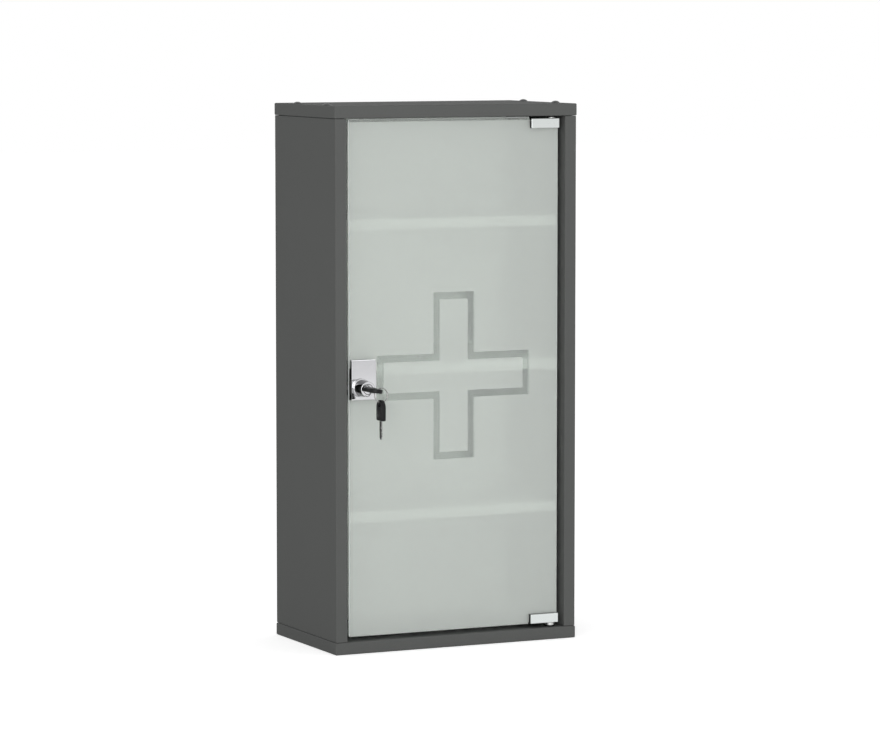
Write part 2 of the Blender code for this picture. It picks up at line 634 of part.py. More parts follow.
def make_lock(door_axis, lock_axis):
    at_plate = (lock_x, plate_front, lock_z)
    low = -LOCK_AXIS_ABOVE_PLATE_FOOT
    high = low + LOCK_HEIGHT
    left = -glass_half_width + LOCK_END_INSET - lock_x
    section = [(LOCK_PLATE, low), (LOCK_EDGE_BEVEL_DEPTH, low), (0, low + LOCK_EDGE_BEVEL),
               (0, high - LOCK_EDGE_BEVEL), (LOCK_EDGE_BEVEL_DEPTH, high), (LOCK_PLATE, high)]
    bm = bmesh.new()
    add_outline(bm, section, left, left + LOCK_WIDTH)
    bmesh.ops.rotate(bm, cent=(0, 0, 0), matrix=ALONG_X, verts=bm.verts)
    plate = finished("lock_plate", bm, chrome, at_plate, door_axis)
    hole = bmesh.new()
    add_rod(hole, (0, -BOARD, 0), (0, BOARD, 0), BARREL_SHANK_RADIUS + FIT, sides=32)
    combine(plate, hole)

    bm = bmesh.new()
    add_box(bm, (left, 0, low + FIT), (left + LOCK_WIDTH, LOCK_GASKET, low + FIT + LOCK_GASKET_HEIGHT))
    at_gasket = (lock_x, plate_front + LOCK_PLATE + FIT, lock_z)
    gasket = finished("lock_gasket", bm, black_plastic, at_gasket, door_axis)
    hole = bmesh.new()
    add_rod(hole, (0, -BOARD, 0), (0, BOARD, 0), BARREL_SHANK_RADIUS + FIT, sides=32)
    combine(gasket, hole)

    bore = PLUG_RADIUS + FIT
    shank_foot = plate_front - nut_rear
    base_top = FIT + BARREL_BASE
    profile = [(bore, BARREL_REACH), (BARREL_FACE_RADIUS - BARREL_CHAMFER, BARREL_REACH),
               (BARREL_FACE_RADIUS, BARREL_REACH - BARREL_CHAMFER), (BARREL_BODY_RADIUS, base_top),
               (BARREL_BASE_RADIUS - BARREL_CHAMFER, base_top), (BARREL_BASE_RADIUS, base_top - BARREL_CHAMFER),
               (BARREL_BASE_RADIUS, FIT), (BARREL_SHANK_RADIUS, FIT), (BARREL_SHANK_RADIUS, shank_foot),
               (bore, shank_foot)]
    bm = bmesh.new()
    add_turned(bm, profile, sides=40)
    finished("lock_barrel", bm, chrome, at_plate, door_axis, FORWARD, smooth=True)

    bm = bmesh.new()
    corner_radius = LOCK_NUT_HALF_WIDTH / math.cos(math.radians(30))
    add_outline(bm, arc(0, 0, corner_radius, 30, 330, 5), -LOCK_NUT, 0)
    nut = finished("lock_nut", bm, steel, (lock_x, nut_front, lock_z), door_axis, FORWARD)
    hole = bmesh.new()
    add_rod(hole, (0, 0, -BOARD), (0, 0, BOARD), BARREL_SHANK_RADIUS + FIT, sides=32)
    combine(nut, hole)

    make_plug(lock_axis)


def make_plug(lock_axis):
    """The plug turns in the barrel. Its square tail carries the cam, which hangs down while unlocked."""
    face = BARREL_REACH - PLUG_RECESS
    plug_foot = plate_front - nut_rear
    tail_foot = plate_front - cam_rear
    bm = bmesh.new()
    add_rod(bm, (0, 0, plug_foot), (0, 0, face), PLUG_RADIUS, sides=32)
    plug = finished("lock_plug", bm, chrome, (lock_x, plate_front, lock_z), lock_axis, FORWARD, smooth=True)
    tail = bmesh.new()
    add_box(tail, (-TAIL_HALF_WIDTH, -TAIL_HALF_WIDTH, tail_foot), (TAIL_HALF_WIDTH, TAIL_HALF_WIDTH, 0))
    combine(plug, tail, "UNION")
    slot = bmesh.new()
    half_width = BLADE_WIDTH / 2 + KEY_SLOT_CLEARANCE
    half_height = BLADE_THICKNESS / 2 + KEY_SLOT_CLEARANCE
    add_box(slot, (-half_width, -half_height, face - BLADE_LENGTH - KEY_SLOT_CLEARANCE),
            (half_width, half_height, face + BOARD))
    add_rod(slot, (0, 0, tail_foot - BOARD), (0, 0, tail_foot + CAM_SCREW_GRIP + FIT), CAM_SCREW_RADIUS + FIT)
    combine(plug, slot)

    half = CAM_WIDTH / 2
    outline = arc(0, 0, half, 0, 180, 12)
    outline += [(-half, CAM_CORNER - CAM_REACH), (CAM_CORNER - half, -CAM_REACH),
                (half - CAM_CORNER, -CAM_REACH), (half, CAM_CORNER - CAM_REACH)]
    bm = bmesh.new()
    add_outline(bm, outline, -CAM_THICKNESS, 0)
    cam = finished("lock_cam", bm, steel, (lock_x, cam_front, lock_z), lock_axis, FORWARD)
    hole = bmesh.new()
    square = TAIL_HALF_WIDTH + FIT
    add_box(hole, (-square, -square, -BOARD), (square, square, BOARD))
    combine(cam, hole)

    crown = CAM_SCREW_HEAD_RADIUS - HEAD_CROWN_INSET
    profile = [(0, -FIT - CAM_SCREW_HEAD), (crown, -FIT - CAM_SCREW_HEAD),
               (CAM_SCREW_HEAD_RADIUS, -FIT - CAM_SCREW_HEAD / 2), (CAM_SCREW_HEAD_RADIUS, -FIT),
               (CAM_SCREW_RADIUS, -FIT), (CAM_SCREW_RADIUS, CAM_SCREW_GRIP), (0, CAM_SCREW_GRIP)]
    bm = bmesh.new()
    add_turned(bm, profile, sides=20)
    finished("cam_screw", bm, steel, (lock_x, cam_rear, lock_z), lock_axis, FORWARD, smooth=True)


# Keys and ring

def bow_bmesh():
    """A key's bow in the local XY plane: its hole at the origin, its round end at -Y, its flat end at +Y."""
    half = BOW_WIDTH / 2
    round_center = BOW_HOLE_FROM_END - half
    flat_end = BOW_LENGTH - BOW_HOLE_FROM_END
    outline = arc(0, -round_center, half, 180, 360, 16) + [(half, flat_end), (-half, flat_end)]
    bm = bmesh.new()
    add_outline(bm, outline, -BOW_THICKNESS / 2, BOW_THICKNESS / 2)
    return bm


def blade_bmesh():
    """A key's blade in the local XY plane, from its root in the bow to its tip, with its cuts along one edge."""
    half = BLADE_WIDTH / 2
    root = BOW_LENGTH - BOW_HOLE_FROM_END - BLADE_ROOT
    tip = BOW_LENGTH - BOW_HOLE_FROM_END + BOW_GAP + BLADE_LENGTH
    first = tip - BLADE_LENGTH + KEY_CUT_START
    outline = [(-half, root), (half, root)]
    for index, depth in enumerate(KEY_CUT_DEPTHS):
        y = first + index * KEY_CUT_PITCH
        outline += [(half, y - KEY_CUT_HALF_WIDTH), (half - depth, y), (half, y + KEY_CUT_HALF_WIDTH)]
    outline += [(half, tip - half), (BLADE_TIP_HALF_WIDTH, tip), (-BLADE_TIP_HALF_WIDTH, tip), (-half, tip - half)]
    bm = bmesh.new()
    add_outline(bm, outline, -BLADE_THICKNESS / 2, BLADE_THICKNESS / 2)
    return bm


def make_key(prefix, at, parent, turn=(0, 0, 0)):
    bow = finished(f"{prefix}_bow", bow_bmesh(), black_plastic, at, parent, turn)
    rounded(bow, BOW_EDGE_ROUND)
    hole = bmesh.new()
    add_rod(hole, (0, 0, -BOARD), (0, 0, BOARD), BOW_HOLE_RADIUS, sides=24)
    half_width = BLADE_WIDTH / 2 + FIT
    half_height = BLADE_THICKNESS / 2 + FIT
    flat_end = BOW_LENGTH - BOW_HOLE_FROM_END
    add_box(hole, (-half_width, flat_end - BLADE_ROOT - FIT, -half_height),
            (half_width, flat_end + BOARD, half_height))
    combine(bow, hole)
    finished(f"{prefix}_blade", blade_bmesh(), steel, at, parent, turn)


def make_ring(ring_axis):
    bm = bmesh.new()
    wire = arc(RING_RADIUS, 0, RING_WIRE_RADIUS, 0, 315, 7)
    add_turned(bm, wire, sides=36)
    bmesh.ops.translate(bm, vec=(0, -RING_DROP, 0), verts=bm.verts)
    finished("key_ring", bm, steel, (ring_x, ring_y, ring_z), ring_axis, FORWARD, smooth=True)


def make_keys(key_axis, ring_axis, spare_axis):
    make_key("key", (lock_x, ring_y, lock_z), key_axis)
    make_ring(ring_axis)
    make_key("spare_key", (ring_x, ring_y, spare_hole_z), spare_axis, HANGING)


make_case()
make_case_screws()
make_shelf_pins()
make_hangers()
make_strike()
door_swing = placed("door_swing", None, (hinge_axis_x, glass_middle, glass_foot))
lock_turn = placed("lock_turn", None, (lock_x, plate_front, lock_z), door_swing, turn=(0, key_turned, 0))
key_pull = placed("key_pull", None, (lock_x, barrel_face, lock_z), lock_turn)
ring_swing = placed("ring_swing", None, (ring_x, ring_y, ring_z), key_pull, turn=(0, -key_turned, 0))
spare_swing = placed("spare_swing", None, (ring_x, ring_y, ring_foot_z), ring_swing)
make_door(door_swing)
make_lock(door_swing, lock_turn)
make_keys(key_pull, ring_swing, spare_swing)
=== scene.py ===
import json
import math

import bmesh
import bpy
from mathutils import Matrix, Vector


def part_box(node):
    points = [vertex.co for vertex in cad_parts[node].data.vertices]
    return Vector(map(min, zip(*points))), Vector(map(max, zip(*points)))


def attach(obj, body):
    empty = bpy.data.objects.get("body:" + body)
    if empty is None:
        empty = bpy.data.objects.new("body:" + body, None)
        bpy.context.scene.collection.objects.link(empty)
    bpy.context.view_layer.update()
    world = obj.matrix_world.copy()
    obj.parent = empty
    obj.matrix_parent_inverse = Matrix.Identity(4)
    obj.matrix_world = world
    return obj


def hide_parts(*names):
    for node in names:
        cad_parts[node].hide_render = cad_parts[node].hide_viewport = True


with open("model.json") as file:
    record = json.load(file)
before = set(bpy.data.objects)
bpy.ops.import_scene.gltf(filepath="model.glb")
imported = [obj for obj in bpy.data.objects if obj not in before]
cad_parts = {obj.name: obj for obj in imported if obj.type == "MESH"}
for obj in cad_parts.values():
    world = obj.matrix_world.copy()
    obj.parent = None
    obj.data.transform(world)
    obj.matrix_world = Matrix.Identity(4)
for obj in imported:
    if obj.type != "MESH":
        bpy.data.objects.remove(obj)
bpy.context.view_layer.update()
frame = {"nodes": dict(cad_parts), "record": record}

cad = frame["nodes"]
print("frame loaded:", len(cad), "nodes")

# Camera, lights and floor

cameraSetup = {
    "place": (-1.892, -4.0006, 0.709),
    "tilt": -5.344,       # degrees, down is negative
    "turn": 25.524,       # degrees, to the right of straight ahead
    "lens": 162.1,
    "sensorWidth": 36,
    "clipEnd": 50,
}

lightSetup = {
    "keyPlace": (-1.40, -3.32, 0.40),
    "keySize": 3.2,
    "keyPower": 95,
    "topPlace": (0.95, -1.10, 2.33),
    "topSize": 0.42,
    "topPower": 1.15,
    "aim": (0, 0, 0.3),
    "skyLight": 0.67,
    "floorColor": (0.82, 0.82, 0.82),
    "floorLift": 0.52,    # seen by the camera and in reflections only
    "floorSize": 14,
    "floorDrop": 0.0002,  # keeps it clear of the cabinet's underside
}


def placeCamera():
    data = bpy.data.cameras.new("photoCamera")
    data.lens = cameraSetup["lens"]
    data.sensor_width = cameraSetup["sensorWidth"]
    data.clip_end = cameraSetup["clipEnd"]
    camera = bpy.data.objects.new("photoCamera", data)
    bpy.context.collection.objects.link(camera)
    camera.location = cameraSetup["place"]
    tilt, turn = math.radians(90 + cameraSetup["tilt"]), math.radians(cameraSetup["turn"])
    camera.rotation_euler = (tilt, 0, -turn)
    bpy.context.scene.camera = camera


def addMath(tree, operation, first, second):
    node = tree.nodes.new("ShaderNodeMath")
    node.operation = operation
    for socket, value in zip(node.inputs, (first, second)):
        if isinstance(value, (int, float)):
            socket.default_value = value
        else:
            tree.links.new(value, socket)
    return node.outputs[0]


def seenDirectly(tree):
    # 1 for camera, mirror and glass rays, 0 for the light that falls on things
    path = tree.nodes.new("ShaderNodeLightPath")
    mirrored = addMath(tree, "MAXIMUM", path.outputs["Is Camera Ray"], path.outputs["Is Glossy Ray"])
    return addMath(tree, "MAXIMUM", mirrored, path.outputs["Is Transmission Ray"])


def lightStage():
    setup = lightSetup
    for part in ("key", "top"):
        data = bpy.data.lights.new(part + "Light", "AREA")
        data.energy = setup[part + "Power"]
        data.size = setup[part + "Size"]
        lamp = bpy.data.objects.new(part + "Light", data)
        bpy.context.collection.objects.link(lamp)
        lamp.location = setup[part + "Place"]
        away = Vector(setup[part + "Place"]) - Vector(setup["aim"])
        lamp.rotation_euler = away.to_track_quat("Z", "Y").to_euler()

    world = bpy.data.worlds.new("studio")
    world.use_nodes = True
    tree = world.node_tree
    sky = tree.nodes["Background"]
    sky.inputs["Color"].default_value = (1, 1, 1, 1)
    sky.inputs["Strength"].default_value = setup["skyLight"]
    white = tree.nodes.new("ShaderNodeBackground")
    white.inputs["Color"].default_value = (1, 1, 1, 1)
    mix = tree.nodes.new("ShaderNodeMixShader")
    tree.links.new(seenDirectly(tree), mix.inputs["Fac"])
    tree.links.new(sky.outputs[0], mix.inputs[1])
    tree.links.new(white.outputs[0], mix.inputs[2])
    tree.links.new(mix.outputs[0], tree.nodes["World Output"].inputs["Surface"])
    bpy.context.scene.world = world

    paint = bpy.data.materials.new("paleFloor")
    paint.use_nodes = True
    shader = paint.node_tree.nodes["Principled BSDF"]
    shader.inputs["Base Color"].default_value = (*setup["floorColor"], 1)
    shader.inputs["Roughness"].default_value = 1
    shader.inputs["Specular IOR Level"].default_value = 0
    shader.inputs["Emission Color"].default_value = (1, 1, 1, 1)
    lift = addMath(paint.node_tree, "MULTIPLY", seenDirectly(paint.node_tree), setup["floorLift"])
    paint.node_tree.links.new(lift, shader.inputs["Emission Strength"])

    bm = bmesh.new()
    bmesh.ops.create_grid(bm, x_segments=1, y_segments=1, size=setup["floorSize"])
    mesh = bpy.data.meshes.new("studioFloor")
    bm.to_mesh(mesh)
    bm.free()
    mesh.materials.append(paint)
    floor = bpy.data.objects.new("studioFloor", mesh)
    floor.location.z = -setup["floorDrop"]
    bpy.context.collection.objects.link(floor)
    bpy.context.scene.view_settings.view_transform = "Standard"


placeCamera()
lightStage()
print("camera, light and floor ready")

# Shader groups that several finishes share

noiseLook = {
    "cloud": {"scale": 9, "detail": 4},
    "speckle": {"detail": 2, "roughness": 0.6},
    "rubbed": {"scale": 260, "detail": 3},
    "smear": {"detail": 3, "roughness": 0.6},
    "haze": {"scale": 1800},
}
rangeLook = {             # from a low and a high value, to a low and a high value
    "edge": (0.98, 0.80, 0.0, 1.0),
    "rubbed": (0.35, 0.65, 0.25, 1.0),
    "smear": (0.4, 0.7, 0.0, 1.0),
}


def newGroup(name, inputs, outputs):
    group = bpy.data.node_groups.new(name, "ShaderNodeTree")
    for label, kind, value in inputs:
        socket = group.interface.new_socket(label, in_out="INPUT", socket_type="NodeSocket" + kind)
        socket.default_value = value
    for label, kind in outputs:
        group.interface.new_socket(label, in_out="OUTPUT", socket_type="NodeSocket" + kind)
    return group, group.nodes.new("NodeGroupInput"), group.nodes.new("NodeGroupOutput")


def addNoise(tree, place, scale, detail=2, roughness=0.5):
    noise = tree.nodes.new("ShaderNodeTexNoise")
    noise.inputs["Detail"].default_value = detail
    noise.inputs["Roughness"].default_value = roughness
    tree.links.new(place, noise.inputs["Vector"])
    if isinstance(scale, (int, float)):
        noise.inputs["Scale"].default_value = scale
    else:
        tree.links.new(scale, noise.inputs["Scale"])
    return noise.outputs["Fac"]


def addRange(tree, value, lowIn, highIn, lowOut, highOut):
    node = tree.nodes.new("ShaderNodeMapRange")
    for socket, number in zip(list(node.inputs)[1:5], (lowIn, highIn, lowOut, highOut)):
        socket.default_value = number
    tree.links.new(value, node.inputs["Value"])
    return node.outputs["Result"]


def addTint(tree, color, amount):
    # multiplies a colour by a number
    node = tree.nodes.new("ShaderNodeVectorMath")
    node.operation = "SCALE"
    tree.links.new(color, node.inputs[0])
    tree.links.new(amount, node.inputs["Scale"])
    return node.outputs[0]


def addSwing(tree, noise, amount):
    # a noise round zero instead of round a half, times an amount
    return addMath(tree, "MULTIPLY", addMath(tree, "SUBTRACT", noise, 0.5), amount)


def makeLaminateGroup():
    # fine emboss and faint clouding of a decor foil
    group, given, made = newGroup(
        "laminate",
        [("Color", "Color", (0.1, 0.1, 0.1, 1)), ("Clouding", "Float", 0.08), ("Speckle", "Float", 0.1),
         ("Grain Scale", "Float", 1600), ("Roughness", "Float", 0.5), ("Roughness Spread", "Float", 0.08)],
        [("Color", "Color"), ("Roughness", "Float"), ("Height", "Float")])
    place = group.nodes.new("ShaderNodeTexCoord").outputs["Object"]
    cloud = addNoise(group, place, **noiseLook["cloud"])
    speckle = addNoise(group, place, given.outputs["Grain Scale"], **noiseLook["speckle"])
    cloudShare = addSwing(group, cloud, given.outputs["Clouding"])
    speckleShare = addSwing(group, speckle, given.outputs["Speckle"])
    total = addMath(group, "ADD", addMath(group, "ADD", cloudShare, speckleShare), 1.0)
    group.links.new(addTint(group, given.outputs["Color"], total), made.inputs["Color"])
    spread = addSwing(group, cloud, given.outputs["Roughness Spread"])
    group.links.new(addMath(group, "ADD", given.outputs["Roughness"], spread), made.inputs["Roughness"])
    group.links.new(speckle, made.inputs["Height"])
    return group


def makeWearGroup():
    # a mask that is 1 on rubbed convex edges
    group, given, made = newGroup(
        "edgeWear", [("Radius", "Float", 0.0008), ("Amount", "Float", 0.5)], [("Mask", "Float")])
    bevel = group.nodes.new("ShaderNodeBevel")
    bevel.samples = 4
    group.links.new(given.outputs["Radius"], bevel.inputs["Radius"])
    flat = group.nodes.new("ShaderNodeNewGeometry")
    dot = group.nodes.new("ShaderNodeVectorMath")
    dot.operation = "DOT_PRODUCT"
    group.links.new(bevel.outputs["Normal"], dot.inputs[0])
    group.links.new(flat.outputs["True Normal"], dot.inputs[1])
    edge = addRange(group, dot.outputs["Value"], *rangeLook["edge"])
    place = group.nodes.new("ShaderNodeTexCoord").outputs["Object"]
    broken = addRange(group, addNoise(group, place, **noiseLook["rubbed"]), *rangeLook["rubbed"])
    mask = addMath(group, "MULTIPLY", edge, broken)
    group.links.new(addMath(group, "MULTIPLY", mask, given.outputs["Amount"]), made.inputs["Mask"])
    return group


def makeSmudgeGroup():
    # soft finger marks and fine haze that change the roughness of a polished surface
    group, given, made = newGroup(
        "smudges", [("Roughness", "Float", 0.1), ("Spread", "Float", 0.08), ("Scale", "Float", 60)],
        [("Roughness", "Float"), ("Height", "Float")])
    place = group.nodes.new("ShaderNodeTexCoord").outputs["Object"]
    broad = addNoise(group, place, given.outputs["Scale"], **noiseLook["smear"])
    fine = addNoise(group, place, **noiseLook["haze"])
    soft = addRange(group, broad, *rangeLook["smear"])
    spread = addMath(group, "MULTIPLY", soft, given.outputs["Spread"])
    group.links.new(addMath(group, "ADD", given.outputs["Roughness"], spread), made.inputs["Roughness"])
    group.links.new(fine, made.inputs["Height"])
    return group


laminateGroup = makeLaminateGroup()
wearGroup = makeWearGroup()
smudgeGroup = makeSmudgeGroup()
print("shader groups ready")

# Finishes

boardCoat = {"clouding": 0.08, "wearRadius": 0.0009, "wearAmount": 0.55,
             "bump": {"strength": 0.35, "distance": 0.00008}}
plasticCoat = {"clouding": 0.1, "wearRadius": 0.0003, "wearAmount": 0.4, "specular": 0.2, "speckle": 0.25,
               "grain": 2400, "bump": {"strength": 0.3, "distance": 0.00005}}
metalBump = {"strength": 0.1, "distance": 0.00003}

coatLook = {
    "dark": {**boardCoat, "color": (0.106, 0.109, 0.106), "worn": (0.150, 0.154, 0.150), "roughness": 0.62,
             "specular": 0.02, "speckle": 0.26, "grain": 1500},
    "back": {**boardCoat, "color": (0.84, 0.85, 0.83), "worn": (0.86, 0.86, 0.84), "roughness": 0.65,
             "specular": 0.3, "speckle": 0.10, "grain": 900},
    "shelf": {**boardCoat, "color": (0.94, 0.95, 0.93), "worn": (0.94, 0.94, 0.92), "roughness": 0.42,
              "specular": 0.5, "speckle": 0.06, "grain": 1500},
    "plastic": {**plasticCoat, "color": (0.004, 0.004, 0.0045), "worn": (0.03, 0.03, 0.03),
                "roughness": 0.30},
    "paint": {**plasticCoat, "color": (0.085, 0.087, 0.086), "worn": (0.22, 0.22, 0.22),
              "roughness": 0.34},
}

jointLook = {"color": (0.058, 0.060, 0.058), "roughness": 0.8}

glassFinish = {
    "frosted": {"color": (0.87, 0.915, 0.875), "roughness": 0.175, "transmission": 0.60},
    "line": {"color": (0.90, 0.945, 0.91), "roughness": 0.12, "transmission": 0.86},
    "edge": {"color": (0.88, 0.96, 0.90), "roughness": 0.06, "transmission": 0.95},
    "arris": {"color": (0.93, 0.97, 0.94), "roughness": 0.25, "transmission": 0.10},
    "rubber": {"color": (0.8, 0.8, 0.78), "roughness": 0.3, "transmission": 0.5},
}

metalLook = {
    "chrome": {"color": (0.56, 0.56, 0.575), "roughness": 0.08, "spread": 0.05, "scale": 70},
    # painted dark reflection and shade: a darker chrome for the neck of the lock barrel
    "smoke": {"color": (0.17, 0.17, 0.175), "roughness": 0.10, "spread": 0.05, "scale": 70},
    "bright": {"color": (0.64, 0.67, 0.66), "roughness": 0.14, "spread": 0.05, "scale": 70},
    "satin": {"color": (0.52, 0.53, 0.52), "roughness": 0.32, "spread": 0.10, "scale": 120},
    "ring": {"color": (0.34, 0.34, 0.33), "roughness": 0.2, "spread": 0.08, "scale": 160},
    "steel": {"color": (0.42, 0.42, 0.41), "roughness": 0.28, "spread": 0.16, "scale": 240},
    "nickel": {"color": (0.33, 0.33, 0.325), "roughness": 0.2, "spread": 0.12, "scale": 160},
}


def newFinish(name, look, metallic=0.0):
    material = bpy.data.materials.new(name)
    material.use_nodes = True
    shader = material.node_tree.nodes["Principled BSDF"]
    shader.inputs["Base Color"].default_value = (*look["color"], 1)
    shader.inputs["Roughness"].default_value = look["roughness"]
    shader.inputs["Metallic"].default_value = metallic
    return material, shader


def placeGroup(tree, group, values):
    node = tree.nodes.new("ShaderNodeGroup")
    node.node_tree = group
    for label, value in values.items():
        node.inputs[label].default_value = value
    return node.outputs


def addBump(tree, shader, height, strength, distance):
    bump = tree.nodes.new("ShaderNodeBump")
    bump.inputs["Strength"].default_value = strength
    bump.inputs["Distance"].default_value = distance
    tree.links.new(height, bump.inputs["Height"])
    tree.links.new(bump.outputs["Normal"], shader.inputs["Normal"])


def makeCoatFinish(name, look):
    # foil, paint or plastic, a little lighter where its edges are rubbed
    material, shader = newFinish(name, look)
    tree = material.node_tree
    coat = placeGroup(tree, laminateGroup, {
        "Color": (*look["color"], 1), "Clouding": look["clouding"], "Speckle": look["speckle"],
        "Grain Scale": look["grain"], "Roughness": look["roughness"]})
    rubbed = placeGroup(tree, wearGroup, {"Radius": look["wearRadius"], "Amount": look["wearAmount"]})
    mix = tree.nodes.new("ShaderNodeMix")
    mix.data_type = "RGBA"     # its colour sockets are inputs 6 and 7 and output 2
    tree.links.new(rubbed["Mask"], mix.inputs[0])
    tree.links.new(coat["Color"], mix.inputs[6])
    mix.inputs[7].default_value = (*look["worn"], 1)
    tree.links.new(mix.outputs[2], shader.inputs["Base Color"])
    tree.links.new(coat["Roughness"], shader.inputs["Roughness"])
    shader.inputs["Specular IOR Level"].default_value = look["specular"]
    addBump(tree, shader, coat["Height"], **look["bump"])
    return material


def makeGlassFinish(name, look):
    material, shader = newFinish(name, look)
    shader.inputs["Transmission Weight"].default_value = look["transmission"]
    shader.inputs["IOR"].default_value = 1.5
    return material


def makeMetalFinish(name, look):
    material, shader = newFinish(name, look, 1.0)
    tree = material.node_tree
    marks = placeGroup(tree, smudgeGroup, {
        "Roughness": look["roughness"], "Spread": look["spread"], "Scale": look["scale"]})
    tree.links.new(marks["Roughness"], shader.inputs["Roughness"])
    addBump(tree, shader, marks["Height"], **metalBump)
    return material


darkBoard = makeCoatFinish("darkLaminate", coatLook["dark"])
boardJoint = newFinish("bandJoint", jointLook)[0]
paleBack = makeCoatFinish("paleHardboard", coatLook["back"])
shelfWhite = makeCoatFinish("shelfLaminate", coatLook["shelf"])
frostedGlass = makeGlassFinish("frostedGlass", glassFinish["frosted"])
clearLine = makeGlassFinish("clearGlassLine", glassFinish["line"])
polishedEdge = makeGlassFinish("polishedGlassEdge", glassFinish["edge"])
groundArris = makeGlassFinish("groundGlassArris", glassFinish["arris"])
chromePlate = makeMetalFinish("chromePlate", metalLook["chrome"])
zincSteel = makeMetalFinish("zincSteel", metalLook["steel"])
nickel = makeMetalFinish("nickelPlate", metalLook["nickel"])
brightChrome = makeMetalFinish("brightChrome", metalLook["bright"])
# painted dark reflection and shade for the lock barrel's neck
darkChrome = makeMetalFinish("darkChrome", metalLook["smoke"])
satinMetal = makeMetalFinish("satinMetal", metalLook["satin"])
ringSteel = makeMetalFinish("ringSteel", metalLook["ring"])
blackPlastic = makeCoatFinish("blackPlastic", coatLook["plastic"])
darkSteel = makeCoatFinish("darkSteelPaint", coatLook["paint"])
clearRubber = makeGlassFinish("clearRubber", glassFinish["rubber"])
print("finishes ready")

# Modelling helpers

mergeDistance = {"own": 1e-7, "cad": 2e-6}


def addBlock(bm, low, high):
    low, high = Vector(low), Vector(high)
    place = Matrix.Translation((low + high) / 2) @ Matrix.Diagonal((*(high - low), 1))
    bmesh.ops.create_cube(bm, size=1, matrix=place)


def addPin(bm, start, end, radius, endRadius=None, sides=48):
    start, end = Vector(start), Vector(end)
    turn = Vector((0, 0, 1)).rotation_difference(end - start).to_matrix().to_4x4()
    place = Matrix.Translation((start + end) / 2) @ turn
    bmesh.ops.create_cone(bm, cap_ends=True, segments=sides, radius1=radius,
                          radius2=radius if endRadius is None else endRadius,
                          depth=(end - start).length, matrix=place)


def addTurned(bm, profile, steps=72):
    # spins (radius, height) points round the local Z axis
    verts = [bm.verts.new((radius, 0, height)) for radius, height in profile]
    edges = [bm.edges.new(pair) for pair in zip(verts, verts[1:])]
    if profile[0][0] > 0:
        edges.append(bm.edges.new((verts[-1], verts[0])))
    bmesh.ops.spin(bm, geom=verts + edges, cent=(0, 0, 0), axis=(0, 0, 1), angle=math.tau, steps=steps,
                   use_merge=True)
    bmesh.ops.remove_doubles(bm, verts=bm.verts, dist=mergeDistance["own"])


def addPinAlong(bm, axis, middle, start, end, radius, sides=48):
    # a pin through a middle point along one axis, from one place on that axis to another
    first, last = Vector(middle), Vector(middle)
    first[axis], last[axis] = start, end
    addPin(bm, first, last, radius, sides=sides)


def vertsAmong(geometry):
    return [item for item in geometry if isinstance(item, bmesh.types.BMVert)]


def addSlab(bm, outline, low, high):
    # a flat outline of (x, y) points made thick along Z
    face = bm.faces.new([bm.verts.new((x, y, low)) for x, y in outline])
    made = bmesh.ops.extrude_face_region(bm, geom=[face])["geom"]
    bmesh.ops.translate(bm, vec=(0, 0, high - low), verts=vertsAmong(made))


def arcPoints(x, y, radius, start, end, steps):
    angles = [math.radians(start + (end - start) * i / steps) for i in range(steps + 1)]
    return [(x + radius * math.cos(a), y + radius * math.sin(a)) for a in angles]


def roundedCorner(radius, height, size):
    # arc points of a rounded corner in a (radius, height) profile, from its top outward
    return arcPoints(radius, height, size, 90, 0, 4)


def facingFront(place):
    # builds along local Z, ends up facing the front at a place
    return Matrix.Translation(place) @ Matrix.Rotation(math.radians(90), 4, "X")


def placePiece(bm, place, outward):
    # builds along local Z, ends up pointing outward at a place
    turn = Vector((0, 0, 1)).rotation_difference(outward).to_matrix().to_4x4()
    bmesh.ops.transform(bm, matrix=Matrix.Translation(place) @ turn, verts=bm.verts)


def cutAcross(bm, axis, place):
    # adds edges where the plane square to an axis passes through
    point, normal = Vector((0, 0, 0)), Vector((0, 0, 0))
    point[axis], normal[axis] = place, 1
    everything = bm.verts[:] + bm.edges[:] + bm.faces[:]
    bmesh.ops.bisect_plane(bm, geom=everything, plane_co=point, plane_no=normal)


def softenEdges(bm, width, segments=3, angle=35):
    sharp = [e for e in bm.edges if len(e.link_faces) == 2 and e.calc_face_angle() > math.radians(angle)]
    bmesh.ops.bevel(bm, geom=sharp, offset=width, offset_type="OFFSET", affect="EDGES", segments=segments,
                    profile=0.5, material=-1, clamp_overlap=True)


def carve(bm, cutter):
    # cuts one closed shape out of another and hands back the result; both given shapes are used up
    parts = []
    for shape in (bm, cutter):
        bmesh.ops.recalc_face_normals(shape, faces=shape.faces)
        mesh = bpy.data.meshes.new("carving")
        shape.to_mesh(mesh)
        shape.free()
        part = bpy.data.objects.new("carving", mesh)
        bpy.context.collection.objects.link(part)
        parts.append(part)
    boolean = parts[0].modifiers.new("carve", "BOOLEAN")
    boolean.operation = "DIFFERENCE"
    boolean.solver = "EXACT"
    boolean.object = parts[1]
    done = bmesh.new()
    done.from_mesh(parts[0].evaluated_get(bpy.context.evaluated_depsgraph_get()).to_mesh())
    for part in parts:
        mesh = part.data
        bpy.data.objects.remove(part)
        bpy.data.meshes.remove(mesh)
    bmesh.ops.remove_doubles(done, verts=done.verts, dist=mergeDistance["own"])
    return done


def copyOfNode(node):
    # the CAD solid as a clean, merged bmesh
    bm = bmesh.new()
    bm.from_mesh(cad[node].data)
    bmesh.ops.remove_doubles(bm, verts=bm.verts, dist=mergeDistance["cad"])
    bmesh.ops.dissolve_limit(bm, angle_limit=math.radians(1), verts=bm.verts, edges=bm.edges)
    return bm


